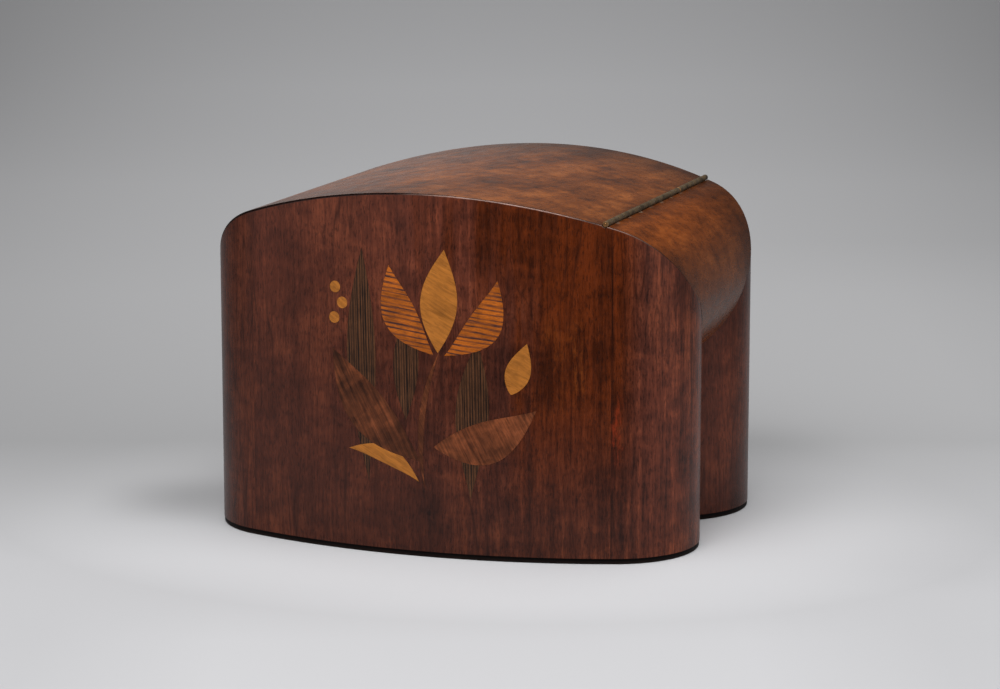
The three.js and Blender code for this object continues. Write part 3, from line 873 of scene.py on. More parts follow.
def surfaced(board, shader, shade, roughness, relief=None, depth=0.0, specular=None, metallic=None):
    """Gives a shader its colour and polish, and fine relief whose depth is in metres."""
    bump = None
    if relief is not None:
        bump = board.add("ShaderNodeBump", named={"Height": relief, "Distance": depth, "Strength": 1.0})[0]
    board.fill(shader, {"Base Color": shade, "Roughness": roughness, "Specular IOR Level": specular,
                        "Metallic": metallic, "Normal": bump})


def grain_place(board, along):
    """The place on the object with Z turned to run along the grain."""
    x, y, z = board.places()
    if along == "height":
        return board.xyz(x, y, z)
    if along == "depth":
        slant = math.radians(15)
        run = y * math.cos(slant) + x * math.sin(slant)
        return board.xyz(x * math.cos(slant) - y * math.sin(slant), z, run)
    slow = 0.06
    return board.xyz(y, z * slow, x)


def warm_zone(board, shade, tone, figure, place, warm, glowing):
    """The warm zone of the front right of its middle, which spreads high up, and the bright figure in it."""
    x, y, z = place
    raggedness, widening, high_up = 0.16, 0.028, (0.15, 0.185)
    left_edge, right_edge, foot = (0.032, 0.074), (0.127, 0.117), (0.025, 0.1)
    glow_x, glow_z = (0.079, 0.022), (0.117, 0.036)
    ragged = figure["Band"] * raggedness + x
    spread = ragged + z.span(*high_up, 0.0, widening)
    zone = spread.span(*left_edge) * x.span(*right_edge) * y.span(*FRONT_HALF) * z.span(*foot, 0.1, 0.93)
    shade = board.mix(zone, shade, board.tinted(warm, tone.span(*TONES, 0.5, 1.5)))
    glow = ragged.spot(*glow_x) * z.spot(*glow_z) * y.span(*FRONT_HALF) * tone.span(0.4, 0.8, 0.0, 0.8)
    return board.mix(glow, shade, glowing)


def seam_marks(board, shade, figure, place, streak, dark):
    """The bright streak beside the right seam of the front, and the dark line of the seam."""
    x, y, z = place
    drift, streak_x, streak_z, seam_x, fading = 0.012, (0.1153, 0.0038), (0.08, 0.026), (0.1122, 0.0009), (0.19, 0.13)
    line = (figure["Mottle"] * drift + x).spot(*streak_x) * z.spot(*streak_z)
    line = line * figure["Fine"].span(-0.12, 0.1, 0.0, 0.95)
    shade = board.mix(line * y.span(*FRONT_HALF), shade, streak)
    seam = x.spot(*seam_x) * figure["Cloud"].span(-0.12, 0.08, 0.25, 0.9) * z.span(*fading, 0.5, 1.0)
    return board.mix(seam * y.span(*FRONT_HALF), shade, lifted(dark, 0.5))


def hinge_specks(board, shade, figure, place, pale_specks):
    """Pale specks on the strip along the hinge, about one to a knuckle."""
    x, y, _ = place
    drift, edge_x, pitch, offset, chip_half, fading = 0.02, (0.1102, 0.0015), 0.0107, 0.003, 0.0044, (0.07, 0.0)
    along = (figure["Band"] * drift + y + offset).math("PINGPONG", pitch)
    specks = x.spot(*edge_x) * along.spot(0.0, chip_half) * y.span(*fading, 0.2, 0.85)
    return board.mix(specks * figure["Mottle"].span(-0.08, 0.08, 0.3, 1.0), shade, pale_specks)


def polished_wood(name, along, shades, seed, weights, painted_light_of, sizes, pores=0.3, lines=0.0, warm=None, streak=None,
                  pale_specks=None):
    """A polished figured veneer, whose colour over the box is lightened and darkened by a given function: painted light
    and shade.
    """
    material, board, shader = fresh_material(name)
    figure = grain(board, grain_place(board, along), seed=seed, **sizes)
    dark, mid, light = shades
    tone = weighed(figure, **weights)
    place = x, y, z = board.places()
    if warm:
        calm, livelier, streaky, right_part = 0.9, 0.35, 0.55, (-0.02, 0.07)
        lively = x.span(*right_part) * y.span(*FRONT_HALF)
        tone = (tone - 0.5) * (lively * livelier + calm) + 0.5 + figure["Streak"] * streaky * lively
    shade = board.ramp(tone, [(0.0, dark), (0.5, mid), (1.0, light)])
    # Painted light and shade over the box.
    shade = board.tinted(shade, painted_light_of(x, y, z))
    if warm:
        shade = warm_zone(board, shade, tone, figure, place, *warm)
    if streak:
        shade = seam_marks(board, shade, figure, place, streak, dark)
    ringed = figure["Line"] * figure["Cloud"].span(-0.1, 0.1, 0.0, lines)
    shade = board.mix((figure["Pore"] * pores).math("MAXIMUM", ringed), shade, lifted(dark, 0.6))
    if pale_specks:
        shade = hinge_specks(board, shade, figure, place, pale_specks)
    relief = figure["Fine"] * 0.6 - figure["Pore"] * 0.4
    surfaced(board, shader, shade, figure["Fine"].span(*SWING, 0.24, 0.31), relief, 0.015 * MM, POLISH)
    return material


def panel_sheen_and_tone(x, y, z):
    """Colour over the bowed panels: paler high up, a painted sheen; darker high up on the right, and darker at the
    foot.
    """
    left_end, right_end, seam_side, middle = (-0.112, -0.107), (0.07, 0.045), (-0.106, 0.02), (0.018, 0.06)
    high_up, warm_x, warm_z, foot = (0.12, 0.19), (0.055, 0.072), (0.128, 0.15), (0.02, 0.045)
    ends = x.span(*left_end).math("MINIMUM", x.span(*right_end))
    pale = ends * (x.spot(*seam_side) * 0.35 + x.spot(*middle) * 0.65 + 0.38) * z.span(*high_up)
    deep = x.span(*warm_x) * z.span(*warm_z, 0.0, -0.22)
    return z.span(*foot, 0.93, 1.08) * (pale + deep + 1.0)


def post_painted_light(x, y, z):
    """Painted light and shade on the posts: the left ones darker round the lobe, the right ones paler round theirs and
    darker on their outer flank, and the back right one darker than the front right one.
    """
    left_turn, right_turn, far_turn, sides = (-0.13, -0.1165), (0.117, 0.131), (0.1435, 0.1485), (-0.01, 0.01)
    half_way, to_back, warm_x, warm_z = (0.078, 0.085), (-0.03, 0.03), (0.124, 0.118), (0.125, 0.155)
    right = x.span(*right_turn, 1.0, 1.5) * x.span(*far_turn, 1.0, 0.78) * (z.spot(*half_way) * 0.42 + 0.97)
    right = y.span(*to_back) * -0.42 + right + x.span(*warm_x) * z.span(*warm_z, 0.0, -0.2)
    return x.span(*sides, x.span(*left_turn, 0.76, 1.0), right)


def top_painted_shade(x, y, z):
    """Painted shade on the top: darker on the shoulders, along the hinge and near the back edge; it is also darker near
    the left front edge.
    """
    over_shoulder, to_back, back_x = (0.134, 0.147), (0.045, 0.115), (-0.09, -0.02)
    to_front, front_x, by_hinge = (-0.075, -0.112), (0.02, -0.02), (0.002, 0.011)
    shoulder = abs(x).span(*over_shoulder, 1.0, 0.6)
    # Painted shade beside the hinge barrel.
    shade_by_hinge = abs(x - HINGE_X).span(*by_hinge, 0.6, 1.0)
    edges = y.span(*to_back, 0.0, -0.7) * x.span(*back_x) + y.span(*to_front, 0.0, -0.45) * x.span(*front_x)
    return shoulder * shade_by_hinge * (edges + 1.0)


def strip_painted_shade(x, y, z):
    """Painted shade on the fixed strip, which darkens towards the back and over its shoulder, besides the painted shade
    of the top.
    """
    to_back, over_shoulder = (-0.02, 0.06), (0.128, 0.14)
    return top_painted_shade(x, y, z) * (y.span(*to_back, 1.06, 0.72) * x.span(*over_shoulder, 1.0, 0.88))


def worn_arris(name, shade, unlit_shade):
    """The polished arris of the rim, with a painted highlight right of the middle, and painted shade, dark, where it
    runs under the lid's edge.
    """
    material, board, shader = fresh_material(name)
    figure = grain(board, grain_place(board, "width"), fine_across=500.0, fine_along=200.0)
    x = board.places()[0]
    starts, by_hinge, past_hinge, ends = (-0.014, 0.025), (0.1, 0.014), (0.104, 0.112), (0.118, 0.138)
    # The pale part is a painted highlight of the light overhead.
    pale = x.span(*starts) * (x.spot(*by_hinge) * -0.6 + 1.0)
    pale = pale * x.span(*past_hinge, 1.0, 0.75) * x.span(*ends, 1.0, 0.0)
    pale = pale * figure["Mottle"].span(-0.15, 0.1, 0.45, 1.0)
    surfaced(board, shader, board.mix(pale, unlit_shade, shade), 0.25)
    return material


def turned_place(board, degrees):
    """The place on the front with Z turned in the plane of the front to run along the grain."""
    turn = (0.0, math.radians(degrees), 0.0)
    return board.add("ShaderNodeMapping", board.place(), vector_type="POINT", named={"Rotation": turn})[0]


def inlay_wood(name, degrees, shades, seed, sizes, weights, pores=0.3):
    """A plain inlay wood with its grain at an angle on the front."""
    material, board, shader = fresh_material(name)
    dark, mid, light = shades
    figure = grain(board, turned_place(board, degrees), seed=seed, **sizes)
    shade = board.ramp(weighed(figure, **weights), [(0.0, dark), (0.5, mid), (1.0, light)])
    shade = board.mix(figure["Pore"] * pores, shade, dark)
    surfaced(board, shader, shade, figure["Fine"].span(*SWING, 0.27, 0.35), figure["Fine"], 0.01 * MM, POLISH)
    return material


def striped_wood(name, degrees, ground, stripe, seed, pitch, width, waver, blur):
    """A striped inlay wood with its stripes at an angle on the front."""
    material, board, shader = fresh_material(name)
    place = turned_place(board, degrees)
    named = {"Vector": place, "Pitch": pitch, "Width": width, "Waver": waver, "Seed": seed}
    lines = board.add("ShaderNodeGroup", node_tree=stripe_group(), named=named)
    figure = grain(board, place, seed=seed, fine_across=900.0, fine_along=90.0)
    tone = weighed(figure, fine=0.9, streak=0.9, mottle=0.9)
    share = lines["Stripe"] * lines["Break"].span(0.0, 1.0, blur, 1.0)
    shade = board.mix(share, board.tinted(ground, tone.span(*TONES, 0.6, 1.4)), stripe)
    shade = board.mix(figure["Pore"] * 0.3, shade, stripe)
    surfaced(board, shader, shade, figure["Fine"].span(*SWING, 0.28, 0.35), figure["Fine"], 0.01 * MM, POLISH)
    return material


def plain_wood(name, along, shade, seed, roughness, spread=0.22):
    """An unpolished board."""
    material, board, shader = fresh_material(name)
    figure = grain(board, grain_place(board, along), seed=seed)
    tone = weighed(figure, fine=1.0, streak=1.2, band=1.0)
    shade_over = board.tinted(shade, tone.span(*TONES, 1 - spread * 1.6, 1 + spread))
    shade_over = board.mix(figure["Pore"] * 0.4, shade_over, lifted(shade, 0.45))
    rough = figure["Fine"].span(*SWING, roughness - 0.05, roughness + 0.08)
    surfaced(board, shader, shade_over, rough, figure["Fine"], 0.04 * MM)
    return material


def black_wood(name, shade):
    """Black stained wood of the base, paler at its foot."""
    material, board, shader = fresh_material(name)
    figure = grain(board, grain_place(board, "width"), across=400.0, along=30.0)
    paled = board.places()[2].span(2.4 * MM, 0.6 * MM) * figure["Streak"].span(-0.2, 0.15, 0.5, 1.0)
    shade_over = board.mix(paled, shade, lifted(shade, 7.0))
    surfaced(board, shader, shade_over, figure["Fine"].span(*SWING, 0.5, 0.65), figure["Fine"], 0.03 * MM, 0.1)
    return material


def aged_bronze(name, shade, worn, hinge):
    """Dull olive bronze, darker where it has tarnished and in the joints of the knuckles, brassy where it is rubbed at
    the joint of its two lengths, and brassy at the front end of the barrel as a painted highlight.
    """
    material, board, shader = fresh_material(name)
    place, y = board.place(), board.places()[1]
    blot_scale, fine_scale = (260.0, 120.0, 260.0), (1500.0, 700.0, 1500.0)
    front_end, middle_half = (-0.1062, -0.1074), 0.0016
    blot, fine = board.noise(place * blot_scale, 4.0, 0.6)[0], board.noise(place * fine_scale)[0]
    dark = lifted(shade, 0.42)
    shade_over = board.mix(blot.span(0.36, 0.58), dark, shade)
    pitch = 2 * hinge.barrel_half / hinge.knuckles
    joint = ((y + hinge.barrel_half) / pitch).math("PINGPONG", 0.5)
    pale = joint.spot(0.085, 0.06) * fine.span(0.4, 0.6, 0.0, 0.75)
    shade_over = board.mix(pale, shade_over, lifted(shade, 1.9))
    shade_over = board.mix(joint.span(0.0, 0.05, 0.85, 0.0), shade_over, lifted(dark, 0.5))
    middle = hinge.long_knuckles * pitch - hinge.barrel_half + 0.6 * MM
    # Brassy at the joint of the two lengths where rubbed, and at the front end of the barrel as a painted highlight.
    paled = y.spot(middle, middle_half).math("MAXIMUM", y.span(*front_end) * 0.45) * fine.span(0.3, 0.55, 0.3, 0.9)
    shade_over = board.mix(paled, shade_over, worn)
    surfaced(board, shader, shade_over, blot.span(0.35, 0.65, 0.6, 0.42), fine, 0.03 * MM, metallic=0.4)
    return material


def rubbed_brass(name, shade):
    """Rubbed brass of the pins."""
    material, board, shader = fresh_material(name)
    blot_scale = (900.0, 300.0, 900.0)
    blot = board.noise(board.place() * blot_scale, 3.0)[0]
    surfaced(board, shader, board.mix(blot.span(0.35, 0.6), lifted(shade, 0.5), shade), 0.4, metallic=0.7)
    return material


class Woods:
    """Materials of the box, made once each."""

    def __init__(self, colours, hinge):
        c = {key: linear(getattr(colours, key)) for key in BoxColours.__annotations__}
        sides = [c[f"veneer_{tone}"] for tone in ("dark", "mid", "light")]
        top = [c[f"top_{tone}"] for tone in ("dark", "mid", "light")]
        side_look = {
            "weights": {"fine": 0.75, "streak": 0.55, "band": 0.4, "mottle": 0.75, "cloud": 0.9},
            "sizes": {"along": 8.0, "fine_across": 620.0, "fine_along": 75.0, "mottle": 75.0, "waver": 0.004},
            "pores": 0.45, "lines": 0.6, "warm": (c["veneer_warm"], c["glow"])}
        top_weights = {"fine": 0.4, "streak": 1.1, "band": 0.8, "mottle": 1.25, "cloud": 0.8}
        strip_weights = {"fine": 0.55, "streak": 0.85, "band": 0.6, "mottle": 0.9, "cloud": 0.7}
        top_sizes = {"across": 110.0, "along": 32.0, "fine_across": 260.0, "fine_along": 90.0, "mottle": 55.0,
                     "waver": 0.012}
        self.front = polished_wood("front_veneer", "height", sides, 0.37, painted_light_of=panel_sheen_and_tone, **side_look)
        self.posts = polished_wood("post_veneer", "height", sides, 1.91, painted_light_of=post_painted_light, streak=c["streak"],
                                   **side_look)
        self.top = polished_wood("top_figured", "depth", top, 2.6, top_weights, top_painted_shade, top_sizes)
        redden = (1.12, 1.0, 0.85, 1.0)
        redder = [tuple(v * s for v, s in zip(shade, redden)) for shade in top]
        self.strip = polished_wood("strip_figured", "depth", redder, 4.2, strip_weights, strip_painted_shade, top_sizes,
                                   pale_specks=c["pale_specks"])
        self.arris = worn_arris("worn_arris", c["worn"], c["veneer_dark"])
        self.raw = plain_wood("stained_edge", "height", c["raw_wood"], 0.8, 0.55)
        self.board = plain_wood("inner_board", "width", c["raw_wood"], 3.1, 0.6)
        self.cedar = plain_wood("cedar_upright", "height", c["cedar"], 1.2, 0.62, 0.16)
        self.cedar_flat = plain_wood("cedar_flat", "width", c["cedar"], 2.2, 0.62, 0.16)
        self.base = black_wood("base_black", c["base"])
        self.bronze = aged_bronze("aged_bronze", c["bronze"], c["brass"], hinge)
        self.brass = rubbed_brass("rubbed_brass", c["brass"])
        pale, brown = c["satinwood"], c["walnut"]
        self.satinwood = inlay_wood("inlay_satinwood", 62, (lifted(pale, 0.5), pale, lifted(pale, 1.35)), 0.5,
                                    {"across": 420.0, "along": 40.0}, {"fine": 1.1, "streak": 1.3, "mottle": 0.7}, 0.35)
        self.walnut = inlay_wood("inlay_walnut", 28, (lifted(brown, 0.3), brown, lifted(brown, 2.4)), 1.4,
                                 {"across": 320.0, "along": 20.0, "fine_across": 700.0, "fine_along": 24.0},
                                 {"fine": 1.3, "streak": 0.9, "mottle": 1.7, "cloud": 1.6})
        self.zebrawood = striped_wood("inlay_zebrawood", 83, c["zebrawood"], c["zebra_stripe"], 0.9,
                                      pitch=0.0029, width=0.35, waver=0.004, blur=0.3)
        self.ebony = striped_wood("inlay_ebony", 1, c["ebony_light"], c["ebony"], 2.3,
                                  pitch=0.0016, width=-0.3, waver=0.0008, blur=0.5)


WORKSHOP = {}


def kit(*names):
    """The form, sizes, hinge sizes, stock and woods of the scene by name. They are made once for a run."""
    if not WORKSHOP:
        scene = bpy.context.scene
        form, sizes, hinge = Form(scene.box_sizes), scene.box_sizes, scene.hinge_sizes
        WORKSHOP.update(form=form, sizes=sizes, hinge=hinge, stock=Stock(form, sizes, hinge),
                        woods=Woods(scene.box_colours, hinge))
    return [WORKSHOP[name] for name in names]


# ---- Inlay ----

# Leaves, petals and reeds, the nearest first, as shares of the motif's width and height.
# Each runs from a foot to a tip. Its middle line bows to the left by bend, and it is widest at belly.
LEAF_SHARES = (
    # name, wood, foot, tip, bend, half width, belly
    ("petal_centre", "satinwood", (0.53, 0.57), (0.56, 0.97), 0.01, 0.085, 0.48),
    ("petal_left", "zebrawood", (0.51, 0.56), (0.3, 0.9), 0.06, 0.08, 0.5),
    ("petal_right", "zebrawood", (0.56, 0.56), (0.8, 0.86), -0.07, 0.075, 0.5),
    ("bud", "satinwood", (0.86, 0.42), (0.93, 0.62), 0, 0.055, 0.42),
    ("stem", "walnut", (0.47, 0.03), (0.54, 0.58), 0.05, 0.014, 0.5),
    ("leaf_left", "walnut", (0.45, 0.14), (0.02, 0.56), 0.05, 0.1, 0.5),
    ("leaf_right", "walnut", (0.51, 0.2), (0.97, 0.36), -0.06, 0.095, 0.46),
    ("leaf_low", "satinwood", (0.44, 0.06), (0.1, 0.17), -0.05, 0.04, 0.5),
    ("reed_left", "ebony", (0.2, 0.04), (0.17, 0.96), 0.02, 0.07, 0.55),
    ("reed_middle", "ebony", (0.38, 0.3), (0.4, 0.74), 0.01, 0.06, 0.5),
    ("reed_right", "ebony", (0.68, 0.0), (0.71, 0.62), 0.01, 0.075, 0.55),
)
BERRY_SHARES = ((0.03, 0.68), (0.07, 0.74), (0.035, 0.8))
BERRY_RADIUS_SHARE = 0.026
MOTIF_WIDTH, MOTIF_HEIGHT, MOTIF_CENTRE_X, MOTIF_BOTTOM = 132 * MM, 152 * MM, 8 * MM, 36 * MM


def motif_place(share):
    across, up = share
    return MOTIF_CENTRE_X + (across - 0.5) * MOTIF_WIDTH, MOTIF_BOTTOM + up * MOTIF_HEIGHT


def leaf_outline(foot, tip, bend, half, belly, steps=36):
    """A leaf's outline, foot to tip up its right side and back down its left."""
    foot_x, foot_z = motif_place(foot)
    tip_x, tip_z = motif_place(tip)
    run_x, run_z = tip_x - foot_x, tip_z - foot_z
    span = math.hypot(run_x, run_z)
    draw = math.log(0.5) / math.log(belly)
    sides = ([], [])
    for side, sign in zip(sides, (-1, 1)):
        for share in (i / steps for i in range(steps + 1)):
            bow = bend * MOTIF_WIDTH * 4 * share * (1 - share)
            out = (bow + sign * half * MOTIF_WIDTH * math.sin(math.pi * share ** draw)) / span
            side.append((foot_x + run_x * share - run_z * out, foot_z + run_z * share + run_x * out))
    return sides[0] + sides[1][::-1][1:-1]


def motif_outlines():
    """Names, woods and outlines of the motif, the nearest first."""
    shapes = [(name, wood, leaf_outline(*shape)) for name, wood, *shape in LEAF_SHARES]
    radius = BERRY_RADIUS_SHARE * MOTIF_WIDTH
    for i, share in enumerate(BERRY_SHARES):
        shapes.append((f"berry_{i + 1}", "satinwood", arc(*motif_place(share), radius, 0, FULL, 40)[1:]))
    return shapes


def through_front(form, outline):
    """A shape of the motif from front to back through the front panel."""
    return lengthwise(outline, -form.half_depth - OVERRUN, -form.lobe_y)


def front_layer(form, outer, inner, steps=120):
    """A layer of the front panel between two insets."""
    points = form.bow_line(outer, form.seam_x, steps) + form.bow_line(inner, form.seam_x, steps)[::-1]
    return upright(mirrored(points, 1, -1), 0.0, form.top(0))


# ---- Hinge parts ----

# The hinge comes in two lengths, each with screws of these numbers in a leaf.
SCREWS = {"long": (1, 2, 3, 4), "short": (5, 6)}


def pitch_of(hinge):
    return 2 * hinge.barrel_half / hinge.knuckles


def moved(thing, x, y, z):
    """The object's mesh moved by a distance."""
    for vertex in thing.data.vertices:
        vertex.co += Vector((x, y, z))
    thing.data.update()
    return thing


def knuckle(hinge):
    """One knuckle with eased ends, starting at Y zero."""
    end, radius, ease = pitch_of(hinge) - hinge.knuckle_gap, hinge.barrel_radius, 0.22 * MM
    profile = [(0, 0), (0, radius - ease), (ease / 3, radius - ease / 3), (ease, radius), (end - ease, radius),
               (end - ease / 3, radius - ease / 3), (end, radius - ease), (end, 0)]
    return moved(turned(profile, 32), HINGE_X, 0, AXIS_Z)


def leaf_faces(hinge, side):
    """X of a leaf's two faces: the case leaf is on the right of the axis, the lid leaf on the left."""
    near = HINGE_X + side * hinge.edge_gap / 2
    return sorted((near, near + side * hinge.leaf_thickness))


def hinge_span(hinge, which):
    """Where a hinge length starts and ends, and the number of its first knuckle and of all."""
    pitch = pitch_of(hinge)
    first = 0 if which == "long" else hinge.long_knuckles
    count = hinge.long_knuckles if which == "long" else hinge.knuckles - hinge.long_knuckles
    front = -hinge.barrel_half + first * pitch
    return front, front + count * pitch - hinge.knuckle_gap, first, count


def leaf_span(hinge, which):
    """Where the leaves of a hinge length start and end."""
    front, back, _, _ = hinge_span(hinge, which)
    return max(front, -hinge.leaf_half), min(back, hinge.leaf_half)


def screws(hinge, which, side, bronze, gap=0.0, slotted=True):
    """The countersunk screws through a leaf, or the room for them."""
    head, shank, depth, long = 1.6 * MM + gap, 0.8 * MM + gap, hinge.leaf_thickness, 5 * MM
    lift = 0.05 * MM
    profile = [(0, 0), (0, head), (lift, head), (depth, shank), (long - shank, shank), (long, 0)]
    made = turned(profile, 24)
    if slotted:
        half, deep = 0.22 * MM, 0.45 * MM
        cut(made, block((-2 * head, -OVERRUN, -half), (2 * head, deep, half)))
    for vertex in made.data.vertices:
        x, y, z = vertex.co
        vertex.co = (HINGE_X + side * (hinge.edge_gap / 2 + y), x, AXIS_Z - hinge.screw_drop + z)
    reworked(made.data, faced_out)
    front, back = leaf_span(hinge, which)
    count = len(SCREWS[which])
    step = (back - front) / count
    return repeated(made, count, front + step / 2, step, bronze)


def hinge_leaf(hinge, which, side, bronze):
    """A leaf with its knuckles, bored for the pin and sunk for its screws."""
    _, _, first, count = hinge_span(hinge, which)
    front, back = leaf_span(hinge, which)
    pitch = pitch_of(hinge)
    low, high = leaf_faces(hinge, side)
    leaf_top = AXIS_Z - hinge.barrel_radius - hinge.groove_gap
    leaf = block((low, front, AXIS_Z - hinge.leaf_drop), (high, back, leaf_top))
    mine = [i for i in range(first, first + count) if (i % 2 == 0) == (side > 0)]
    starts = [-hinge.barrel_half + i * pitch for i in mine]
    barrels = repeated(knuckle(hinge), len(mine), starts[0], 2 * pitch, bronze)
    for start in starts:
        tab_front, tab_back = max(start, front), min(start + pitch - hinge.knuckle_gap, back)
        join(leaf, block((low, tab_front, leaf_top - hinge.leaf_thickness), (high, tab_back, AXIS_Z)))
    bore = rod(hinge.pin_radius + 0.08 * MM, -CAD_HIGH.y, CAD_HIGH.y)
    return cut(join(leaf, barrels), bore, screws(hinge, which, side, bronze, 0.06 * MM, False))


def pin_end(at, out, radius, domed):
    """Points of a pin's end from its tip inwards."""
    dome = 0.25 * MM * out
    tip = [(at + dome, 0), (at + dome * 0.8, radius * 0.55)] if domed else [(at, 0)]
    return [*tip, (at, radius * 0.94), (at - dome, radius)]


# ---- Operators ----

class BOX_OT_case(bpy.types.Operator):
    """Make the black base, the back panel and the four corner posts."""

    bl_idname = "inlaid_box.case"
    bl_label = "Case"

    def execute(self, context):
        form, sizes, stock, woods = kit("form", "sizes", "stock", "woods")
        veneered = [woods.front, woods.raw, woods.arris]
        # Insets of the base's eased foot and the heights that they lie at, in millimetres.
        eased_foot = ((1.3, 0.0), (0.8, 0.12), (0.45, 0.45), (0.35, 0.9), (0.35, sizes.base_thickness / MM))
        base = lofted([[(x, y, height * MM) for x, y in grown(form.outline(), -inset * MM)]
                       for inset, height in eased_foot])
        finished(base, "base", CASE, [woods.base], ["base_plate"], form)
        finished(stock.panel(1), "back_face", CASE, veneered, ["back_panel"], form)
        veneered = [woods.posts, woods.raw, woods.arris]
        for side_x, across in ((-1, "left"), (1, "right")):
            for side_y, deep in ((-1, "front"), (1, "back")):
                plan = mirrored(self.post_plan(form, sizes), side_x, side_y)
                post = stock.under_rim(upright(plan, sizes.base_thickness, form.top(0) + OVERRUN))
                finished(post, f"lobe_{deep}_{across}", CASE, veneered, [f"post_{deep}_{across}"], form)
        return {"FINISHED"}

    @staticmethod
    def post_plan(form, sizes):
        """Outline of the back right post: its lobe, the end wall and the inside of the bowed panel."""
        tight = 0.03 * MM
        seam, turn = QUARTER - form.seam_angle - tight / form.bow_radius, QUARTER - form.bow_angle
        bow = arc(0, -form.bow_centre, form.bow_radius + OVERRUN, seam, turn, 2)[:-1]
        outer = arc(form.lobe_x, form.lobe_y, form.lobe_radius + OVERRUN, turn, 0, 22)
        inner = arc(form.lobe_x, form.lobe_y, form.lobe_radius, 0, -QUARTER, 36)
        inside = form.bow_radius - sizes.panel_thickness - tight
        return bow + outer + inner + arc(0, -form.bow_centre, inside, math.acos(form.lobe_x / inside), seam, 6)


class BOX_OT_front(bpy.types.Operator):
    """Make the front panel with the pockets of the inlay, and the inlaid woods."""

    bl_idname = "inlaid_box.front"
    bl_label = "Front and inlay"

    def execute(self, context):
        form, sizes, stock, woods = kit("form", "sizes", "stock", "woods")
        panel = stock.panel(-1)
        shapes = motif_outlines()
        rooms, *others = [through_front(form, grown(outline, sizes.saw_line)) for _, _, outline in shapes]
        join(rooms, *others)
        cut(panel, keep(rooms, front_layer(form, -OVERRUN, sizes.inlay_thickness + sizes.saw_line)))
        finished(panel, "front_face", CASE, [woods.front, woods.raw, woods.arris], ["front_panel"], form)
        for place, (name, wood, outline) in enumerate(shapes):
            piece = keep(through_front(form, outline), front_layer(form, 0, sizes.inlay_thickness))
            for _, _, nearer in shapes[:place]:
                cut(piece, through_front(form, grown(nearer, sizes.saw_line)))
            parts = bodies_of(piece)
            for i, part in enumerate(parts):
                part_name = f"{name}_{i + 1}" if len(parts) > 1 else name
                finished(part, f"wood_{part_name}", CASE, [getattr(woods, wood)],
                         [f"inlay_{part_name}"], form)
        return {"FINISHED"}


class BOX_OT_top(bpy.types.Operator):
    """Make the lid with its rolled end, and the fixed strip on the right of the hinge."""

    bl_idname = "inlaid_box.top"
    bl_label = "Lid and fixed strip"

    def execute(self, context):
        form, hinge, stock, woods = kit("form", "hinge", "stock", "woods")
        figured, half_gap, far = [woods.top, woods.raw], hinge.edge_gap / 2, form.half_width + 2 * OVERRUN
        panel = keep(stock.take("lid_ladder"), between(-form.lobe_x, HINGE_X - half_gap), stock.take("top"))
        cut(panel, stock.take("groove"), self.pocket(hinge, -1))
        finished(panel, "lid_board", LID, figured, ["lid_panel"], form)
        roll = keep(stock.take("lid_ladder"), between(-far, -form.lobe_x))
        roll = keep(join(roll, end_wedge(form, -1, 0.5 * MM)), stock.take("top"))
        finished(roll, "lid_roll", LID, figured, ["lid_end_roll"], form)
        strip = keep(stock.take("lid_ladder"), between(HINGE_X + half_gap, far))
        wedge = cut(end_wedge(form, 1, 0.15 * MM), keep(stock.take("lid_room"), between(0, HINGE_X + half_gap)))
        strip = cut(keep(join(strip, wedge), stock.take("top")), stock.take("groove"), self.pocket(hinge, 1))
        finished(strip, "fixed_strip", CASE, [woods.strip, woods.raw], ["fixed_end_roll"], form)
        return {"FINISHED"}

    @staticmethod
    def pocket(hinge, side):
        """Room for the leaves of a side, open towards the other side."""
        room = 0.1 * MM
        low, high = leaf_faces(hinge, side)
        low, high = (low - room, high + OVERRUN) if side < 0 else (low - OVERRUN, high + room)
        half = hinge.leaf_half + room
        return block((low, -half, AXIS_Z - hinge.leaf_drop - room), (high, half, AXIS_Z + OVERRUN / 3))


class BOX_OT_hinge(bpy.types.Operator):
    """Make the strip hinge in two lengths: leaves, pins and screws."""

    bl_idname = "inlaid_box.hinge"
    bl_label = "Strip hinge"

    def execute(self, context):
        form, hinge, woods = kit("form", "hinge", "woods")
        for which, numbers in SCREWS.items():
            for side, body in ((1, CASE), (-1, LID)):
                finished(hinge_leaf(hinge, which, side, woods.bronze), f"leaf_{which}_{body}", body,
                         [woods.bronze], [f"hinge_{which}_{body}_leaf"], form)
                finished(screws(hinge, which, side, woods.bronze), f"screws_{which}_{body}", body,
                         [woods.bronze], [f"hinge_{body}_screw_{i}" for i in numbers], form)
            front, back, _, _ = hinge_span(hinge, which)
            profile = pin_end(front, -1, hinge.pin_radius, which == "long")
            profile += pin_end(back, 1, hinge.pin_radius, which == "short")[::-1]
            pin = moved(turned(profile, 24), HINGE_X, 0, AXIS_Z)
            finished(pin, f"pin_{which}", CASE, [woods.brass], [f"hinge_{which}_pin"], form)
        return {"FINISHED"}


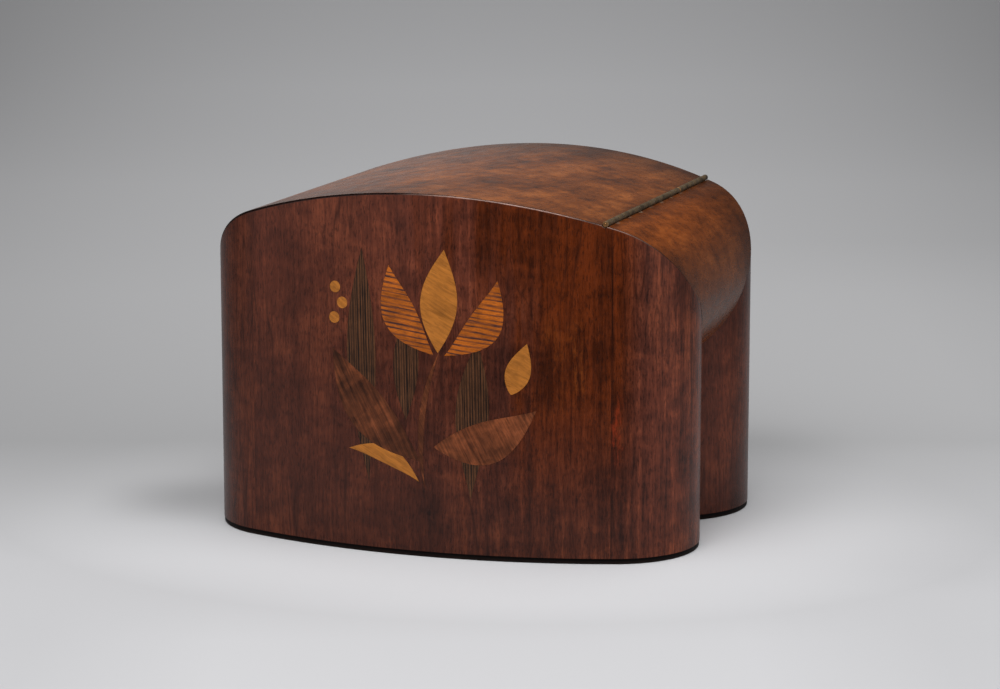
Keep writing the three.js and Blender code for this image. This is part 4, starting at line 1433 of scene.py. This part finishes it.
class BOX_OT_inside(bpy.types.Operator):
    """Make the linings, and give the boards inside their woods."""

    bl_idname = "inlaid_box.inside"
    bl_label = "Linings and boards"

    def execute(self, context):
        form, sizes, stock, woods = kit("form", "sizes", "stock", "woods")
        lining, half = sizes.lining_thickness, form.cavity_x - sizes.glue_gap
        outer = sizes.panel_thickness + sizes.glue_gap
        for side_y, deep in ((-1, "front"), (1, "back")):
            strip = bow_strip(form, side_y, outer, outer + lining, half, half, form.floor_z)
            cut(keep(strip, stock.take("top")), stock.take("lid_room"))
            finished(strip, f"cedar_{deep}", CASE, [woods.cedar], [f"{deep}_lining"], form)
        clear, inset = 1.7 * MM, 0.8 * MM
        back = form.bow_line(outer + lining + clear, half - lining - clear)
        under = upright(back + mirrored(back, -1, -1), 0.0, form.top(0))
        keep(under, seat(form, inset, lambda x: sizes.seat_depth + lining))
        cut(under, seat(form, inset, lambda x: sizes.seat_depth, 2 * OVERRUN))
        finished(under, "cedar_lid", LID, [woods.cedar_flat], ["lid_lining"], form)
        plain = {"bottom_board": woods.board, "left_end_wall": woods.posts, "right_end_wall": woods.posts,
                 "floor_lining": woods.cedar_flat, "left_lining": woods.cedar, "right_lining": woods.cedar}
        for name, material in plain.items():
            coated(frame["nodes"][name], [material])
        return {"FINISHED"}


# Lamps of the studio: place, target, width, height and power.
LAMPS = {
    "top_light": ((0.08, -0.1, 1.5), (0.05, 0.0, 0.2), 1.2, 1.2, 12.0),
    "front_light": ((0.15, -1.55, 1.8), (0.0, 0.0, 0.1), 1.2, 1.0, 15.0),
    "left_light": ((-0.52, -0.67, 0.33), (-0.05, -0.05, 0.12), 0.75, 0.6, 0.45),
    "right_light": ((0.88, -0.24, 0.33), (0.1, 0.0, 0.12), 0.6, 0.6, 0.6),
}
AZIMUTH, ELEVATION, DISTANCE = math.radians(19.0), math.radians(10.59), 2.006
FLOOR_RADIUS = 14.0
# How much paler than its far colour the floor is at distances behind the box: a painted falloff of light.
FAR_FLOOR = ((0.2, 1.0), (0.8, 1.4), (1.5, 1.72), (2.5, 1.9), (4.0, 1.8))


def seen_from_camera(place):
    """How far a place lies behind the middle of the box and across to the right, as the camera sees it."""
    behind, across = (-math.sin(AZIMUTH), math.cos(AZIMUTH), 0.0), (math.cos(AZIMUTH), math.sin(AZIMUTH), 0.0)
    return place.dot(behind), place.dot(across)


class BOX_OT_studio(bpy.types.Operator):
    """Make the floor, the lamps and the camera."""

    bl_idname = "inlaid_box.studio"
    bl_label = "Studio"

    def execute(self, context):
        scene = context.scene
        ring = circle(0, 0, FLOOR_RADIUS, steps=64)
        mesh = bpy.data.meshes.new("floor")
        mesh.from_pydata([(x, y, 0.0) for x, y in ring], [], [tuple(range(len(ring)))])
        floor = bpy.data.objects.new("floor", mesh)
        scene.collection.objects.link(floor)
        coated(floor, [self.floor_material(linear(scene.box_colours.floor_near), linear(scene.box_colours.floor_far))])
        self.world(scene)
        for name, values in LAMPS.items():
            self.lamp(name, *values)
        self.camera(scene)
        return {"FINISHED"}

    @staticmethod
    def floor_material(near, far):
        """Pale floor that falls off behind the box, along the line of sight of the photograph, and darker to the sides:
        a painted falloff of light.
        For camera rays it is painted a little paler round the foot of the box, where the box would shade it, with
        painted shade and light beside the box; polish mirrors it dimly."""
        material, board, shader = fresh_material("pale_floor")
        place = board.place()
        behind, across = seen_from_camera(place)
        low, high = -0.5, 4.5
        stops = [(-0.13, near)] + [(at, lifted(far, factor)) for at, factor in FAR_FLOOR]
        shade = board.ramp(behind.span(low, high), [((at - low) / (high - low), shade) for at, shade in stops])
        camera_behind, darkest, falls_off = 2.0, -0.4, (-0.4, 2.5)
        aside = across / (behind + camera_behind)
        # Painted shade, darker to the sides.
        vignette = aside * aside * behind.span(*falls_off, 0.0, -13.0)
        shade = board.tinted(shade, vignette.math("MAXIMUM", darkest) + 1.0)
        from_box = place * (1 / CAD_HIGH.x, 1 / CAD_HIGH.y, 0.0)
        from_box = board.add("ShaderNodeVectorMath", from_box, operation="LENGTH")["Value"]
        by_box, to_back = (1.0, 2.1), (-0.1, 0.06)
        # Painted light round the foot of the box, filling the box's own shadow on the floor.
        foot = from_box.span(*by_box) * behind.span(*to_back, -0.45, -0.16) + behind.span(*to_back, 1.45, 1.16)
        # Painted shadow left of the box, painted light right of it, painted shade near and behind it on the right, and
        # painted light and shade in the foreground.
        painted_shade_left = across.spot(-0.19, 0.07) * behind.spot(0.03, 0.082) * 0.27
        painted_light_right = across.span(0.1, 0.35) * behind.span(1.1, 0.3, 0.0, 0.2) * behind.span(-0.06, 0.16)
        painted_shade_near = across.spot(0.22, 0.13) * behind.spot(-0.125, 0.09) * -0.09
        painted_shade_far = across.spot(0.183, 0.08) * behind.spot(0.19, 0.1) * -0.1
        foreground = behind.span(-0.2, -0.3) * abs(across).span(0.14, 0.24, 0.075, -0.02)
        paler = foot - painted_shade_left + painted_light_right + painted_shade_near + painted_shade_far + foreground - 1.0
        rays = board.add("ShaderNodeLightPath")
        shade = board.tinted(shade, paler * rays["Is Camera Ray"] + 1.0)
        glossy, mirrored_less, in_front, unlit = rays["Is Glossy Ray"], -0.28, (-0.22, -0.52), (0.05, 0.05, 0.05, 1.0)
        shade = board.tinted(shade, glossy * mirrored_less + 1.0)
        shade = board.mix(behind.span(*in_front) * glossy, shade, unlit)
        surfaced(board, shader, shade, 0.75, specular=0.2)
        return material

    @staticmethod
    def world(scene):
        """Even soft light from all round. Polish mirrors a pale backdrop low down behind the box and a dark room."""
        world = bpy.data.worlds.new("studio")
        scene.world = world
        world.use_nodes = True
        world.node_tree.nodes.clear()
        board = Board(world.node_tree)
        way = board.add("ShaderNodeTexCoord")["Generated"]
        behind, across = seen_from_camera(way)
        height = board.add("ShaderNodeSeparateXYZ", way)[2]
        upper, lower, sides, turning = (0.08, 0.30), (0.07, 0.0), (0.12, 0.6), (-0.1, 0.4)
        backdrop = height.span(*upper, 0.36, 0.02) + height.span(*lower, 0.0, 0.25)
        backdrop = backdrop * abs(across).span(*sides, 1.0, 0.2)
        dark_room, ambient, white = 0.03, 0.45, (1.0, 1.0, 1.01, 1.0)
        glossy = board.add("ShaderNodeLightPath")["Is Glossy Ray"]
        seen = behind.span(*turning, dark_room, backdrop)
        sky = board.add("ShaderNodeBackground", white, glossy * seen + (glossy * -1.0 + 1.0) * ambient)
        board.add("ShaderNodeOutputWorld", sky[0])

    @staticmethod
    def lamp(name, place, target, width, height, power):
        """A soft rectangular lamp that points at a target."""
        data = bpy.data.lights.new(name, "AREA")
        data.shape = "RECTANGLE"
        data.size, data.size_y = width, height
        data.energy = power
        lamp = bpy.data.objects.new(name, data)
        lamp.location = place
        lamp.rotation_euler = (Vector(target) - Vector(place)).to_track_quat("-Z", "Y").to_euler()
        bpy.context.scene.collection.objects.link(lamp)

    @staticmethod
    def camera(scene):
        """The camera at the photograph's place."""
        target, lens, sensor = Vector((0.00745, 0.0, 0.1054)), 116.94, 36.0
        back = Vector((math.sin(AZIMUTH) * math.cos(ELEVATION), -math.cos(AZIMUTH) * math.cos(ELEVATION),
                       math.sin(ELEVATION)))
        data = bpy.data.cameras.new("camera")
        data.lens, data.sensor_width = lens, sensor
        camera = bpy.data.objects.new("camera", data)
        camera.location = target + back * DISTANCE
        camera.rotation_euler = (-back).to_track_quat("-Z", "Y").to_euler()
        scene.collection.objects.link(camera)
        scene.camera = camera
        scene.view_settings.view_transform = "Standard"


class BOX_PT_panel(bpy.types.Panel):
    """The steps of building the box, with its sizes and colours."""

    bl_label = "Inlaid Box"
    bl_idname = "BOX_PT_panel"
    bl_space_type = "VIEW_3D"
    bl_region_type = "UI"
    bl_category = "Inlaid Box"

    def draw(self, context):
        for step in STEPS:
            self.layout.operator(step.bl_idname)
        for settings in (context.scene.box_sizes, context.scene.hinge_sizes, context.scene.box_colours):
            column = self.layout.column()
            for name in settings.bl_rna.properties.keys():
                if name not in ("rna_type", "name"):
                    column.prop(settings, name)


STEPS = (BOX_OT_studio, BOX_OT_case, BOX_OT_front, BOX_OT_top, BOX_OT_hinge, BOX_OT_inside)
SETTINGS = {"box_sizes": BoxSizes, "hinge_sizes": HingeSizes, "box_colours": BoxColours}


def register():
    for item in (*SETTINGS.values(), *STEPS, BOX_PT_panel):
        bpy.utils.register_class(item)
    for name, settings in SETTINGS.items():
        setattr(bpy.types.Scene, name, PointerProperty(type=settings))


def unregister():
    for name in SETTINGS:
        delattr(bpy.types.Scene, name)
    for item in (BOX_PT_panel, *reversed(STEPS), *reversed(tuple(SETTINGS.values()))):
        bpy.utils.unregister_class(item)


def main():
    """Builds everything in order."""
    register()
    for step in STEPS:
        group, name = step.bl_idname.split(".")
        getattr(getattr(bpy.ops, group), name)()
    kit("stock")[0].clear()


if __name__ == "__main__":
    main()
